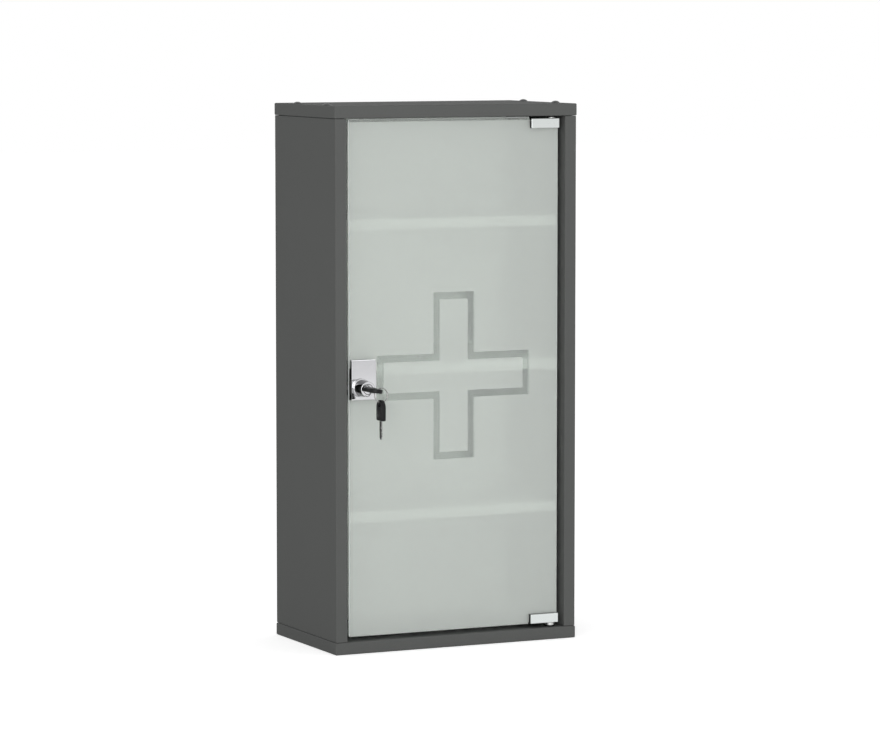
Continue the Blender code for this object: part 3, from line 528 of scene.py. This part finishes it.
def finishPiece(name, bm, body, materials, replaced, smoothAngle=32):
    if not bm.faces:
        raise ValueError(name + " has no faces")
    bmesh.ops.recalc_face_normals(bm, faces=bm.faces)
    mesh = bpy.data.meshes.new(name)
    bm.to_mesh(mesh)
    bm.free()
    for material in materials:
        mesh.materials.append(material)
    piece = bpy.data.objects.new(name, mesh)
    bpy.context.collection.objects.link(piece)
    if smoothAngle:
        mesh.shade_smooth()
        mesh.set_sharp_from_angle(angle=math.radians(smoothAngle))
        weighted = piece.modifiers.new("normals", "WEIGHTED_NORMAL")
        weighted.keep_sharp = True
        weighted.weight = 50
        shaded = piece.evaluated_get(bpy.context.evaluated_depsgraph_get())
        piece.data = bpy.data.meshes.new_from_object(shaded)
        piece.data.name = name
        piece.modifiers.clear()
        bpy.data.meshes.remove(mesh)
    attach(piece, body)
    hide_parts(*replaced)


def middleOf(node):
    low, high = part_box(node)
    return (low + high) / 2


# The usual finish of each material slot, and each CAD node's slot and body

plainFinish = {
    "back_board": paleBack, "shelf_board": shelfWhite, "chrome": chromePlate, "steel": zincSteel,
    "dark_steel": darkSteel, "black_plastic": blackPlastic, "clear_rubber": clearRubber,
}
slotOfNode = {part["node"]: part["material_slot"] for part in frame["record"]["subparts"]}
bodies = frame["record"]["behaviour"]["bodies"]
bodyOfNode = {node: body for body, members in bodies.items() for node in members}


def camelName(node):
    first, *rest = node.split("_")
    return first + "".join(word.capitalize() for word in rest)


def standIn(node, bm, *materials):
    # a finer piece for one CAD node, on the node's own body, in the usual finish of the node's slot or
    # another
    slotName = slotOfNode[node]
    finishPiece(camelName(node), bm, bodyOfNode[node], materials or [plainFinish[slotName]], [node])


def refineNode(node, softening):
    # a CAD solid with its edges rounded
    bm = copyOfNode(node)
    softenEdges(bm, softening, 2)
    standIn(node, bm)


# Door glass with its cross of clear lines

glassShape = {
    "crossCenter": (-0.0005, 0.3016),
    "crossReach": (0.093, 0.0925),
    "armHalfWidth": 0.025,
    "lineWidth": 0.008,
    "lineDepth": 0.00012,
    "arris": 0.0010,
    "holeRadius": 0.0073,
    "holeSides": 64,
    "clearTop": 0.0034,   # clear border over the frosting, cut away at the hinge
    "lowerEdge": 0.0019,  # frosted strip under the hinge's level, cut away there too
    "hingeNotch": 0.0008,
    "cutPast": 0.01,
}


def inCross(x, z, inset):
    reachX, reachZ = glassShape["crossReach"]
    half = glassShape["armHalfWidth"] - inset
    dx, dz = abs(x - glassShape["crossCenter"][0]), abs(z - glassShape["crossCenter"][1])
    return (dx < reachX - inset and dz < half) or (dz < reachZ - inset and dx < half)


def makeGlass():
    shape = glassShape
    low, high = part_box("door_glass")
    past, arm, line = shape["cutPast"], shape["armHalfWidth"], shape["lineWidth"]
    bm = bmesh.new()
    addBlock(bm, low - Vector((0, 0, shape["lowerEdge"])), high + Vector((0, 0, shape["clearTop"])))
    softenEdges(bm, shape["arris"], 1)
    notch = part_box("hinge_clamp_top")[0].x - shape["hingeNotch"]
    cutter = bmesh.new()
    addBlock(cutter, (notch, low.y - past, high.z), (high.x + past, high.y + past, high.z + past))
    addBlock(cutter, (notch, low.y - past, low.z - past), (high.x + past, high.y + past, low.z))
    addPinAlong(cutter, 1, middleOf("lock_nut"), low.y - past, high.y + past, shape["holeRadius"],
                shape["holeSides"])
    bm = carve(bm, cutter)

    cutAcross(bm, 2, high.z)
    for axis, center, reach in zip((0, 2), shape["crossCenter"], shape["crossReach"]):
        for distance in (reach, reach - line, arm, arm - line):
            for sign in (-1, 1):
                cutAcross(bm, axis, center + sign * distance)

    frosted, clear, edge, arris = range(4)
    band = []
    for face in bm.faces:
        middle = face.calc_center_median()
        facing = abs(face.normal.y)
        face.material_index = frosted
        if facing < 0.9:
            face.material_index = arris if facing > 0.4 else edge
        elif middle.z > high.z:
            face.material_index = clear
        elif inCross(middle.x, middle.z, 0) and not inCross(middle.x, middle.z, line):
            face.material_index = clear
            if face.normal.y < 0:
                band.append(face)
    sunk = bmesh.ops.extrude_face_region(bm, geom=band)["geom"]
    bmesh.ops.translate(bm, vec=(0, shape["lineDepth"], 0), verts=vertsAmong(sunk))
    finishPiece("glassPane", bm, "door",
                [frostedGlass, clearLine, polishedEdge, groundArris], ["door_glass"], smoothAngle=0)


makeGlass()
print("glass done")

# Hinges: chrome covers on black clamps

hingeShape = {"coverRound": 0.0004, "clampRound": 0.0003}


def makeHinges():
    for end in ("top", "bottom"):
        bm = bmesh.new()
        addBlock(bm, *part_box("hinge_cover_" + end))
        softenEdges(bm, hingeShape["coverRound"], 4)
        standIn("hinge_cover_" + end, bm, brightChrome)
        refineNode("hinge_clamp_" + end, hingeShape["clampRound"])


makeHinges()
print("hinges done")

# Lock on the door: a bevelled plate and a barrel with a base ring

lockShape = {
    "edgeBevel": 0.0020,
    "edgeBevelDepth": 0.0014,
    "plateRound": 0.00025,
    "plateCutPast": 0.01,
    "shankRadius": 0.0070,
    "boreRadius": 0.0055,
    "baseRadius": 0.0104,
    "bodyRadius": 0.0094,
    "faceRadius": 0.0083,
    "baseHeight": 0.0025,
    "round": 0.0006,
    "mouthBevel": 0.0004,
    "neckFoot": ((0.0001, 0.0004), (0.0004, 0.0001), (0.0002, 0)),   # in from the neck, up from the base
    "gasketRound": 0.0002,
    "clearance": 0.0003,
}
fittingRound = {"lock_plug": 0.00015, "lock_nut": 0.0003, "lock_cam": 0.0003, "lock_strike": 0.0003}


def makeLockPlate():
    shape = lockShape
    low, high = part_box("lock_plate")
    bevel, depth, past = shape["edgeBevel"], shape["edgeBevelDepth"], shape["plateCutPast"]
    outline = [(high.y, low.z), (low.y + depth, low.z), (low.y, low.z + bevel),
               (low.y, high.z - bevel), (low.y + depth, high.z), (high.y, high.z)]
    bm = bmesh.new()
    addSlab(bm, outline, low.x, high.x)
    upright = Matrix(((0, 0, 1), (1, 0, 0), (0, 1, 0)))     # local X, Y, Z become Y, Z, X
    bmesh.ops.rotate(bm, cent=(0, 0, 0), matrix=upright, verts=bm.verts)
    softenEdges(bm, shape["plateRound"], 2)
    cutter = bmesh.new()
    addPinAlong(cutter, 1, middleOf("lock_nut"), low.y - past, high.y + past,
                shape["shankRadius"] + shape["clearance"])
    standIn("lock_plate", carve(bm, cutter))


def makeLockBarrel():
    # heights are measured forward from the plate's front face
    shape = lockShape
    axis, plateFace = middleOf("lock_nut"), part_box("lock_plate")[0].y
    low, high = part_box("lock_barrel")
    top, foot = plateFace - low.y, plateFace - high.y
    size, base, gap, mouth = shape["round"], shape["baseHeight"], shape["clearance"], shape["mouthBevel"]
    bore, shank, body = shape["boreRadius"], shape["shankRadius"], shape["bodyRadius"]
    profile = [(bore, top - mouth), (bore + mouth, top)]
    profile += roundedCorner(shape["faceRadius"] - size, top - size, size)
    profile += [(body - inward, base + up) for inward, up in shape["neckFoot"]]
    profile += roundedCorner(shape["baseRadius"] - size, base - size, size)
    profile += [(shape["baseRadius"], gap), (shank, gap), (shank, foot), (bore, foot)]
    bm = bmesh.new()
    addTurned(bm, profile, 96)
    # the neck's side faces take the second, darker chrome: painted dark reflection and shade on the barrel
    for face in bm.faces:
        middle = face.calc_center_median()
        onNeck = shape["faceRadius"] < math.hypot(middle.x, middle.y) < body and middle.z > base
        if onNeck and abs(face.normal.z) < 0.5:
            face.material_index = 1
    bmesh.ops.transform(bm, matrix=facingFront((axis.x, plateFace, axis.z)), verts=bm.verts)
    standIn("lock_barrel", bm, chromePlate, darkChrome)


makeLockPlate()
refineNode("lock_gasket", lockShape["gasketRound"])
makeLockBarrel()
for node, softening in fittingRound.items():
    refineNode(node, softening)
print("lock done")

# Keys: a black bow with a sunk panel and a milled blade, one in the lock and one on the ring

keyShape = {
    "turned": 8,          # degrees, of the key in the lock at rest
    "width": 0.0165,
    "thickness": 0.0046,
    "length": 0.0228,
    "bladeRoot": 0.010,
    "bladeWidth": 0.0056,
    "bladeThickness": 0.0013,
    "bladeRound": 0.00015,
    "bladeClearance": 0.0003,
    "bladeCutPast": 0.01,
    "hole": 0.0034,
    "holeFromEnd": 0.0047,
    "edgeRound": 0.0011,
    "cornerRound": 0.0018,
    "panelMargin": 0.0021,
    "panelDepth": 0.00035,
    "panelTolerance": 0.00005,
    "pillowMargin": 0.0006,
    "pillowRise": 0.0013,
    "pillowSteps": 10,
}
ringShape = {"turns": 2, "wireRadius": 0.00048, "wireSides": 12, "rise": 0.00102, "stepsPerTurn": 72}


def keyPlace(node, hanging):
    # the place of a bow's hole, and the turn of a key that is built lying flat with its blade along +Y
    low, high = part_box(node)
    middle = middleOf(node)
    if hanging:
        hole = Vector((middle.x, middle.y, high.z - keyShape["holeFromEnd"]))
        return Matrix.Translation(hole) @ Matrix(((0, 0, 1), (-1, 0, 0), (0, -1, 0))).to_4x4()
    hole = Vector((middle.x, low.y + keyShape["holeFromEnd"], middle.z))
    return Matrix.Translation(hole) @ Matrix.Rotation(math.radians(keyShape["turned"]), 4, "Y")


def raisePillow(bm, flatEnd):
    # the low cushion in the sunk panel of each side
    shape = keyShape
    start, end = shape["hole"] + shape["pillowMargin"], flatEnd - shape["panelMargin"]
    reach = shape["width"] / 2 - shape["panelMargin"] - shape["panelDepth"]
    steps = shape["pillowSteps"]
    for step in range(1, steps):
        cutAcross(bm, 1, start + (end - start) * step / steps)
        cutAcross(bm, 0, reach * (2 * step / steps - 1))
    sunk = shape["thickness"] / 2 - shape["panelDepth"]
    for vert in bm.verts:
        x, y, z = vert.co
        if abs(abs(z) - sunk) < shape["panelTolerance"] and abs(x) < reach and start < y < end:
            along = (y - start) / (end - start)
            rise = shape["pillowRise"] * math.sin(math.pi * along) * (1 - (x / reach) ** 2)
            vert.co.z += math.copysign(rise, z)


def makeKey(prefix, hanging):
    shape = keyShape
    thick, half = shape["thickness"], shape["width"] / 2
    flatEnd = shape["length"] - shape["holeFromEnd"]
    corner = shape["cornerRound"]
    outline = arcPoints(0, half - shape["holeFromEnd"], half, 180, 360, 32)
    outline += arcPoints(half - corner, flatEnd - corner, corner, 0, 90, 6)
    outline += arcPoints(corner - half, flatEnd - corner, corner, 90, 180, 6)
    bm = bmesh.new()
    addSlab(bm, outline, -thick / 2, thick / 2)
    softenEdges(bm, shape["edgeRound"], 4)
    flats = sorted(bm.faces, key=lambda face: face.calc_area())[-2:]
    margin, depth = shape["panelMargin"] - shape["edgeRound"], shape["panelDepth"]
    bmesh.ops.inset_individual(bm, faces=flats, thickness=margin, depth=0)
    bmesh.ops.inset_individual(bm, faces=flats, thickness=depth, depth=-depth)
    raisePillow(bm, flatEnd)
    cutter = bmesh.new()
    addPin(cutter, (0, 0, -thick), (0, 0, thick), shape["hole"], sides=64)
    gap = shape["bladeClearance"]
    slotWidth, slotHeight = shape["bladeWidth"] / 2 + gap, shape["bladeThickness"] / 2 + gap
    addBlock(cutter, (-slotWidth, flatEnd - shape["bladeRoot"] - gap, -slotHeight),
             (slotWidth, flatEnd + shape["bladeCutPast"], slotHeight))
    bm = carve(bm, cutter)
    bmesh.ops.transform(bm, matrix=keyPlace(prefix + "_bow", hanging), verts=bm.verts)
    standIn(prefix + "_bow", bm)
    bm = copyOfNode(prefix + "_blade")
    softenEdges(bm, shape["bladeRound"], 2)
    standIn(prefix + "_blade", bm, nickel)


def makeRing():
    # a round section swept twice round the axis while it rises
    shape = ringShape
    low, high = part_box("key_ring")
    radius = (high.z - low.z) / 2 - shape["wireRadius"]
    start = Matrix.Translation((radius, 0, -shape["rise"])) @ Matrix.Rotation(math.radians(90), 4, "X")
    bm = bmesh.new()
    section = bmesh.ops.create_circle(bm, cap_ends=False, radius=shape["wireRadius"],
                                      segments=shape["wireSides"], matrix=start)["verts"]
    bmesh.ops.spin(bm, geom=section + bm.edges[:], cent=(0, 0, 0), axis=(0, 0, 1), use_merge=False,
                   angle=math.tau * shape["turns"], steps=shape["turns"] * shape["stepsPerTurn"],
                   dvec=(0, 0, shape["rise"] / shape["stepsPerTurn"]))
    bmesh.ops.holes_fill(bm, edges=[e for e in bm.edges if e.is_boundary], sides=0)
    bmesh.ops.transform(bm, matrix=facingFront(middleOf("key_ring")), verts=bm.verts)
    finishPiece("splitRing", bm, "ring", [ringSteel], ["key_ring"])


makeKey("key", False)
makeKey("spare_key", True)
makeRing()
print("keys done")

# Screws: a turned head with a recess, and a shank with its thread shown as rings

screwShape = {
    "case": {"shank": 0.0025, "pitch": 0.0014, "threadDepth": 0.0004,
             "reach": 0.0024, "width": 0.0006, "depth": 0.0011},
    "hanger": {"shank": 0.0014, "pitch": 0.0009, "threadDepth": 0.0002,
               "reach": 0.0015, "width": 0.0004, "depth": 0.0006, "crown": 0.0012},
    "strike": {"shank": 0.0015, "pitch": 0.0009, "threadDepth": 0.0002,
               "reach": 0.0017, "width": 0.0004, "depth": 0.0009, "crown": 0.0016},
    "cam": {"shank": 0.0014, "pitch": 0.0007, "threadDepth": 0.0002,
            "reach": 0.0026, "width": 0.0005, "depth": 0.0010, "crown": 0.0016},
    "recessTaper": 0.45,
    "flushDepth": 0.0028,
    "flushRim": 0.0002,
    "domeHeight": 0.0020,
    "domeNeck": 0.012,       # plain shank under the dome
    "threadLead": 0.0001,
    "tip": 0.0015,
    "tipShare": 0.4,         # of the shank's radius
    "tipRise": 0.0002,
}
setScrewShape = {"edge": 0.0003, "socket": 0.0011, "socketDepth": 0.0022, "socketPast": 0.001}
hangerRound = 0.0002
crownCurve = {               # shares of the radius and of the height, from the top down
    "screw": ((0.55, 0.06), (0.82, 0.22), (0.96, 0.48), (1, 0.72), (1, 1)),
    "bumper": ((0.45, 0.05), (0.75, 0.18), (0.93, 0.42), (1, 0.72), (1, 1)),
}


def crossRecess(shape):
    # a tapering cross that opens upwards through the local XY plane
    reach, width, depth = shape["reach"], shape["width"], shape["depth"]
    outline = [(width, width), (width, reach), (-width, reach), (-width, width),
               (-reach, width), (-reach, -width), (-width, -width), (-width, -reach),
               (width, -reach), (width, -width), (reach, -width), (reach, width)]
    taper = screwShape["recessTaper"]
    bm = bmesh.new()
    addSlab(bm, outline, -depth, depth)
    bmesh.ops.scale(bm, vec=(taper, taper, 1), verts=[v for v in bm.verts if v.co.z < 0])
    return bm


def threadProfile(shape, start, tip):
    # rings from one height down to another, then a blunt point
    shank, pitch = shape["shank"], shape["pitch"]
    points = [(shank, start + screwShape["threadLead"])]
    height = start
    while height - pitch > tip + screwShape["tip"]:
        points += [(shank, height), (shank - shape["threadDepth"], height - pitch / 2)]
        height -= pitch
    blunt = (shank * screwShape["tipShare"], tip + screwShape["tipRise"])
    return points + [(shank, height), blunt, (0, tip)]


def crownProfile(name, radius, height):
    return [(0, 0)] + [(radius * out, -height * down) for out, down in crownCurve[name]]


def makeScrew(node, outward, head, kind):
    # heights run down from the top of the head, which is a dome, flush or round
    shape = screwShape[kind]
    shank, pitch = shape["shank"], shape["pitch"]
    low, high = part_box(node)
    outward = Vector(outward)
    length = abs((high - low).dot(outward))
    radius = max(size for size, along in zip(high - low, outward) if not along) / 2
    if head == "dome":
        rise = screwShape["domeHeight"]
        ball = (radius ** 2 + rise ** 2) / (2 * rise)
        sweep = math.degrees(math.asin(radius / ball))
        profile = [(0, 0)] + arcPoints(0, -ball, ball, 90, 90 - sweep, 12)[1:] + [(shank, -rise)]
        threadStart = -rise - screwShape["domeNeck"]
    elif head == "flush":
        rim, cone = screwShape["flushRim"], screwShape["flushDepth"]
        profile = [(0, 0), (radius - rim, 0), (radius, -rim), (shank, -cone)]
        threadStart = -cone - pitch
    else:
        crown = shape["crown"]
        profile = crownProfile("screw", radius, crown) + [(shank, -crown)]
        threadStart = -crown - pitch
    bm = bmesh.new()
    addTurned(bm, profile + threadProfile(shape, threadStart, -length), 48)
    bm = carve(bm, crossRecess(shape))
    placePiece(bm, middleOf(node) + outward * length / 2, outward)
    standIn(node, bm)


def makeSetScrew(node):
    # a headless screw with a hex socket that opens to the rear
    low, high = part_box(node)
    middle = middleOf(node)
    radius, length = (high.x - low.x) / 2, high.y - low.y
    edge, socket = setScrewShape["edge"], setScrewShape["socket"]
    profile = [(0, 0), (radius - edge, 0), (radius, -edge)]
    profile += [(radius, edge - length), (radius - edge, -length), (0, -length)]
    bm = bmesh.new()
    addTurned(bm, profile, 40)
    cutter = bmesh.new()
    hexagon = arcPoints(0, 0, socket, 0, 300, 5)
    addSlab(cutter, hexagon, -setScrewShape["socketDepth"], setScrewShape["socketPast"])
    bm = carve(bm, cutter)
    placePiece(bm, Vector((middle.x, high.y, middle.z)), Vector((0, 1, 0)))
    standIn(node, bm)


def makeScrews():
    for side in ("left", "right"):
        for row in ("front", "rear"):
            makeScrew(f"top_screw_{side}_{row}", (0, 0, 1), "dome", "case")
            makeScrew(f"bottom_screw_{side}_{row}", (0, 0, -1), "flush", "case")
        refineNode("wall_hanger_" + side, hangerRound)
        for level in ("lower", "upper"):
            makeScrew(f"hanger_screw_{side}_{level}", (0, 1, 0), "round", "hanger")
    makeScrew("strike_screw", (1, 0, 0), "round", "strike")
    makeScrew("cam_screw", (0, 1, 0), "round", "cam")
    for end in ("top", "bottom"):
        makeSetScrew("hinge_set_screw_" + end)


makeScrews()
print("screws done")

# Shelf pins, hinge pins, bushes and the door bumper

pinShape = {
    "shelfPinRadius": 0.0025,
    "shelfPinRound": 0.0008,
    "hingePinRadius": 0.0025,
    "shoulderRadius": 0.0053,
    "bushFlange": 0.0012,
    "bushFlangeRadius": 0.0052,
    "bushRadius": 0.0040,
    "round": 0.0003,
    "gap": 0.0003,
}


def makeShelfPins():
    radius, size = pinShape["shelfPinRadius"], pinShape["shelfPinRound"]
    for node in sorted(name for name in cad if name.startswith("shelf_pin")):
        low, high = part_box(node)
        length, middle = high.x - low.x, middleOf(node)
        profile = [(0, 0)] + roundedCorner(radius - size, -size, size)
        profile += [(radius, size - length), (radius - size, -length), (0, -length)]
        bm = bmesh.new()
        addTurned(bm, profile, 36)
        outward = Vector((-math.copysign(1, middle.x), 0, 0))
        placePiece(bm, middle + outward * length / 2, outward)
        standIn(node, bm)


def heightsInward(node, inward):
    # the two ends of a node's box, the outer one first
    return sorted(corner.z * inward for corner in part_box(node))


def makePivots():
    # the profiles' heights are measured inward from the board's inner face
    shape = pinShape
    gap, size = shape["gap"], shape["round"]
    pin, shoulder = shape["hingePinRadius"], shape["shoulderRadius"]
    bore, flange, tube = pin + gap, shape["bushFlangeRadius"], shape["bushRadius"]
    flangeFace = gap + shape["bushFlange"]
    shoulderFoot = flangeFace + gap
    for end, inward in (("bottom", 1), ("top", -1)):
        bushNode, pinNode = "pivot_bush_" + end, "hinge_pin_" + end
        bushFoot, bushTop = heightsInward(bushNode, inward)
        board = bushTop - flangeFace
        bushFoot -= board
        pinFoot, pinTop = (height - board for height in heightsInward(pinNode, inward))
        shoulderTop = heightsInward("hinge_clamp_" + end, inward)[0] - board - gap
        pinProfile = [(0, pinTop), (pin, pinTop), (pin, shoulderTop)]
        pinProfile += roundedCorner(shoulder - size, shoulderTop - size, size)
        pinProfile += [(shoulder, shoulderFoot), (pin, shoulderFoot), (pin, pinFoot + size),
                       (pin - size, pinFoot), (0, pinFoot)]
        bushProfile = [(bore, bushFoot), (bore, flangeFace - size), (bore + size, flangeFace)]
        bushProfile += roundedCorner(flange - size, flangeFace - size, size)
        bushProfile += [(flange, gap), (tube, gap), (tube, bushFoot)]
        middle = middleOf(pinNode)
        for node, profile, material in ((pinNode, pinProfile, satinMetal),
                                        (bushNode, bushProfile, blackPlastic)):
            bm = bmesh.new()
            addTurned(bm, profile, 64)
            placePiece(bm, Vector((middle.x, middle.y, board * inward)), Vector((0, 0, inward)))
            standIn(node, bm, material)


def makeBumper():
    low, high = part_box("door_bumper")
    middle = middleOf("door_bumper")
    thick = high.y - low.y
    bm = bmesh.new()
    addTurned(bm, crownProfile("bumper", (high.x - low.x) / 2, thick) + [(0, -thick)], 40)
    placePiece(bm, Vector((middle.x, low.y, middle.z)), Vector((0, -1, 0)))
    standIn("door_bumper", bm)


makeShelfPins()
makePivots()
makeBumper()
print("pins done")

# Boards: rounded edges, edge bands with a hairline joint, and the holes and grooves for the fittings

boardShape = {
    "endRound": 0.0014,
    "sideRound": 0.0007,
    "shelfRound": 0.0007,
    "backRound": 0.0003,
    "bandThickness": 0.0008,
    "endBandStart": 0.0008,
    "sideBandStart": 0.0003,
    "jointWidth": 0.00012,
    "gap": 0.0003,
    "cutPast": 0.005,
    "groovePast": 0.01,
    "caseHole": 0.0028,
    "pinHole": 0.0028,
    "bushHole": 0.0043,
    "strikeHole": 0.0018,
    "sinkRadius": 0.0054,
    "sinkDepth": 0.0028,
    "sinkPast": 0.001,
    "hangerHole": 0.0017,
    "hangerPocket": (0.0046, 0.0096, 0.008),   # half width, half height, depth
    "endHoleSides": 40,
    "bushHoleSides": 48,
    "sideHoleSides": 32,
}


def bandEdges(bm, bands):
    # marks a hairline joint behind each banded edge: the axis, where the edge starts and the way inward
    thickness, width = boardShape["bandThickness"], boardShape["jointWidth"]
    for axis, start, inward in bands:
        joint = [start + inward * depth for depth in (thickness, thickness + width)]
        for place in joint:
            cutAcross(bm, axis, place)
        for face in bm.faces:
            if min(joint) < face.calc_center_median()[axis] < max(joint) and abs(face.normal[axis]) < 0.5:
                face.material_index = 1


def makeEndPanel(end, inward):
    # the top or the bottom panel; inward is the way from it to the shelves
    shape = boardShape
    low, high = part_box(end + "_panel")
    gap, under, over = shape["gap"], low.z - shape["cutPast"], high.z + shape["cutPast"]
    screws = [middleOf(f"{end}_screw_{side}_{row}")
              for side in ("left", "right") for row in ("front", "rear")]
    bm = bmesh.new()
    addBlock(bm, low, high)
    softenEdges(bm, shape["endRound"], 5)
    start = shape["endBandStart"]
    bandEdges(bm, [(1, low.y + start, 1), (0, low.x + start, 1), (0, high.x - start, -1)])
    groove = bmesh.new()
    backLow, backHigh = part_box("back_panel")
    room = Vector((gap, gap, gap))
    addBlock(groove, backLow - room, backHigh + room)
    bm = carve(bm, groove)

    holes = bmesh.new()
    for screw in screws:
        addPinAlong(holes, 2, screw, under, over, shape["caseHole"], shape["endHoleSides"])
    bush = "pivot_bush_" + end
    bushLow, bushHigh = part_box(bush)
    inner, outer = (over, bushLow.z - gap) if inward > 0 else (under, bushHigh.z + gap)
    addPinAlong(holes, 2, middleOf(bush), inner, outer, shape["bushHole"], shape["bushHoleSides"])
    bm = carve(bm, holes)

    if end == "bottom":
        radius, hole = shape["sinkRadius"], shape["caseHole"]
        depth, past = shape["sinkDepth"], shape["sinkPast"]
        slope = (radius - hole) / depth
        sinks = bmesh.new()
        for screw in screws:
            addPin(sinks, (screw.x, screw.y, -past), (screw.x, screw.y, depth), radius + slope * past, hole)
        bm = carve(bm, sinks)
    standIn(end + "_panel", bm, darkBoard, boardJoint)


def sideHoles(side, sign, inside, under, over):
    # for the case screws, the shelf pins and, at the left, the strike's screw
    shape = boardShape
    gap, sides = shape["gap"], shape["sideHoleSides"]
    bm = bmesh.new()
    for row in ("front", "rear"):
        top, bottom = f"top_screw_{side}_{row}", f"bottom_screw_{side}_{row}"
        addPinAlong(bm, 2, middleOf(top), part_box(top)[0].z - gap, over, shape["caseHole"], sides)
        addPinAlong(bm, 2, middleOf(top), under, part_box(bottom)[1].z + gap, shape["caseHole"], sides)
    for node in cad:
        if node.startswith("shelf_pin") and side in node.split("_"):
            pinLow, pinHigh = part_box(node)
            deep = pinHigh.x + gap if sign > 0 else pinLow.x - gap
            addPinAlong(bm, 0, middleOf(node), inside, deep, shape["pinHole"], sides)
    if side == "left":
        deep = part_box("strike_screw")[0].x - gap
        addPinAlong(bm, 0, middleOf("strike_screw"), inside, deep, shape["strikeHole"], sides)
    return bm


def hangerPocket(side, behind):
    # room behind the keyhole plate for the head of a wall screw, and the holes of the plate's own screws
    shape = boardShape
    gap, sides = shape["gap"], shape["sideHoleSides"]
    halfWidth, halfHeight, depth = shape["hangerPocket"]
    middle, front = middleOf("wall_hanger_" + side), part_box("wall_hanger_" + side)[0].y
    bm = bmesh.new()
    addBlock(bm, (middle.x - halfWidth, front - gap - depth, middle.z - halfHeight),
             (middle.x + halfWidth, behind, middle.z + halfHeight))
    for level in ("lower", "upper"):
        screw = f"hanger_screw_{side}_{level}"
        addPinAlong(bm, 1, middleOf(screw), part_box(screw)[0].y - gap, behind, shape["hangerHole"], sides)
    return bm


def makeSidePanel(side, sign):
    # sign is the side of the case, 1 for the right
    shape = boardShape
    gap, past = shape["gap"], shape["cutPast"]
    low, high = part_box("side_panel_" + side)
    inside = (low.x if sign > 0 else high.x) - sign * past
    behind = high.y + past
    bm = bmesh.new()
    addBlock(bm, low, high)
    softenEdges(bm, shape["sideRound"], 4)
    bandEdges(bm, [(1, low.y + shape["sideBandStart"], 1)])
    bm = carve(bm, sideHoles(side, sign, inside, low.z - past, high.z + past))

    groove = bmesh.new()
    backLow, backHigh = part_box("back_panel")
    deep = backHigh.x + gap if sign > 0 else backLow.x - gap
    grooveLeft, grooveRight = sorted((deep, inside))
    addBlock(groove, (grooveLeft, backLow.y - gap, low.z - shape["groovePast"]),
             (grooveRight, backHigh.y + gap, high.z + shape["groovePast"]))
    bm = carve(bm, groove)

    seat = bmesh.new()
    hangerLow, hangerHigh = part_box("wall_hanger_" + side)
    addBlock(seat, (hangerLow.x - gap, hangerLow.y - gap, hangerLow.z - gap),
             (hangerHigh.x + gap, behind, hangerHigh.z + gap))
    bm = carve(bm, seat)
    bm = carve(bm, hangerPocket(side, behind))
    standIn("side_panel_" + side, bm, darkBoard, boardJoint)


def makePlainBoard(node, size):
    bm = bmesh.new()
    addBlock(bm, *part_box(node))
    softenEdges(bm, size)
    standIn(node, bm)


makeEndPanel("top", -1)
makeEndPanel("bottom", 1)
makeSidePanel("left", -1)
makeSidePanel("right", 1)
makePlainBoard("back_panel", boardShape["backRound"])
for level in ("lower", "middle", "upper"):
    makePlainBoard("shelf_" + level, boardShape["shelfRound"])
print("boards done")
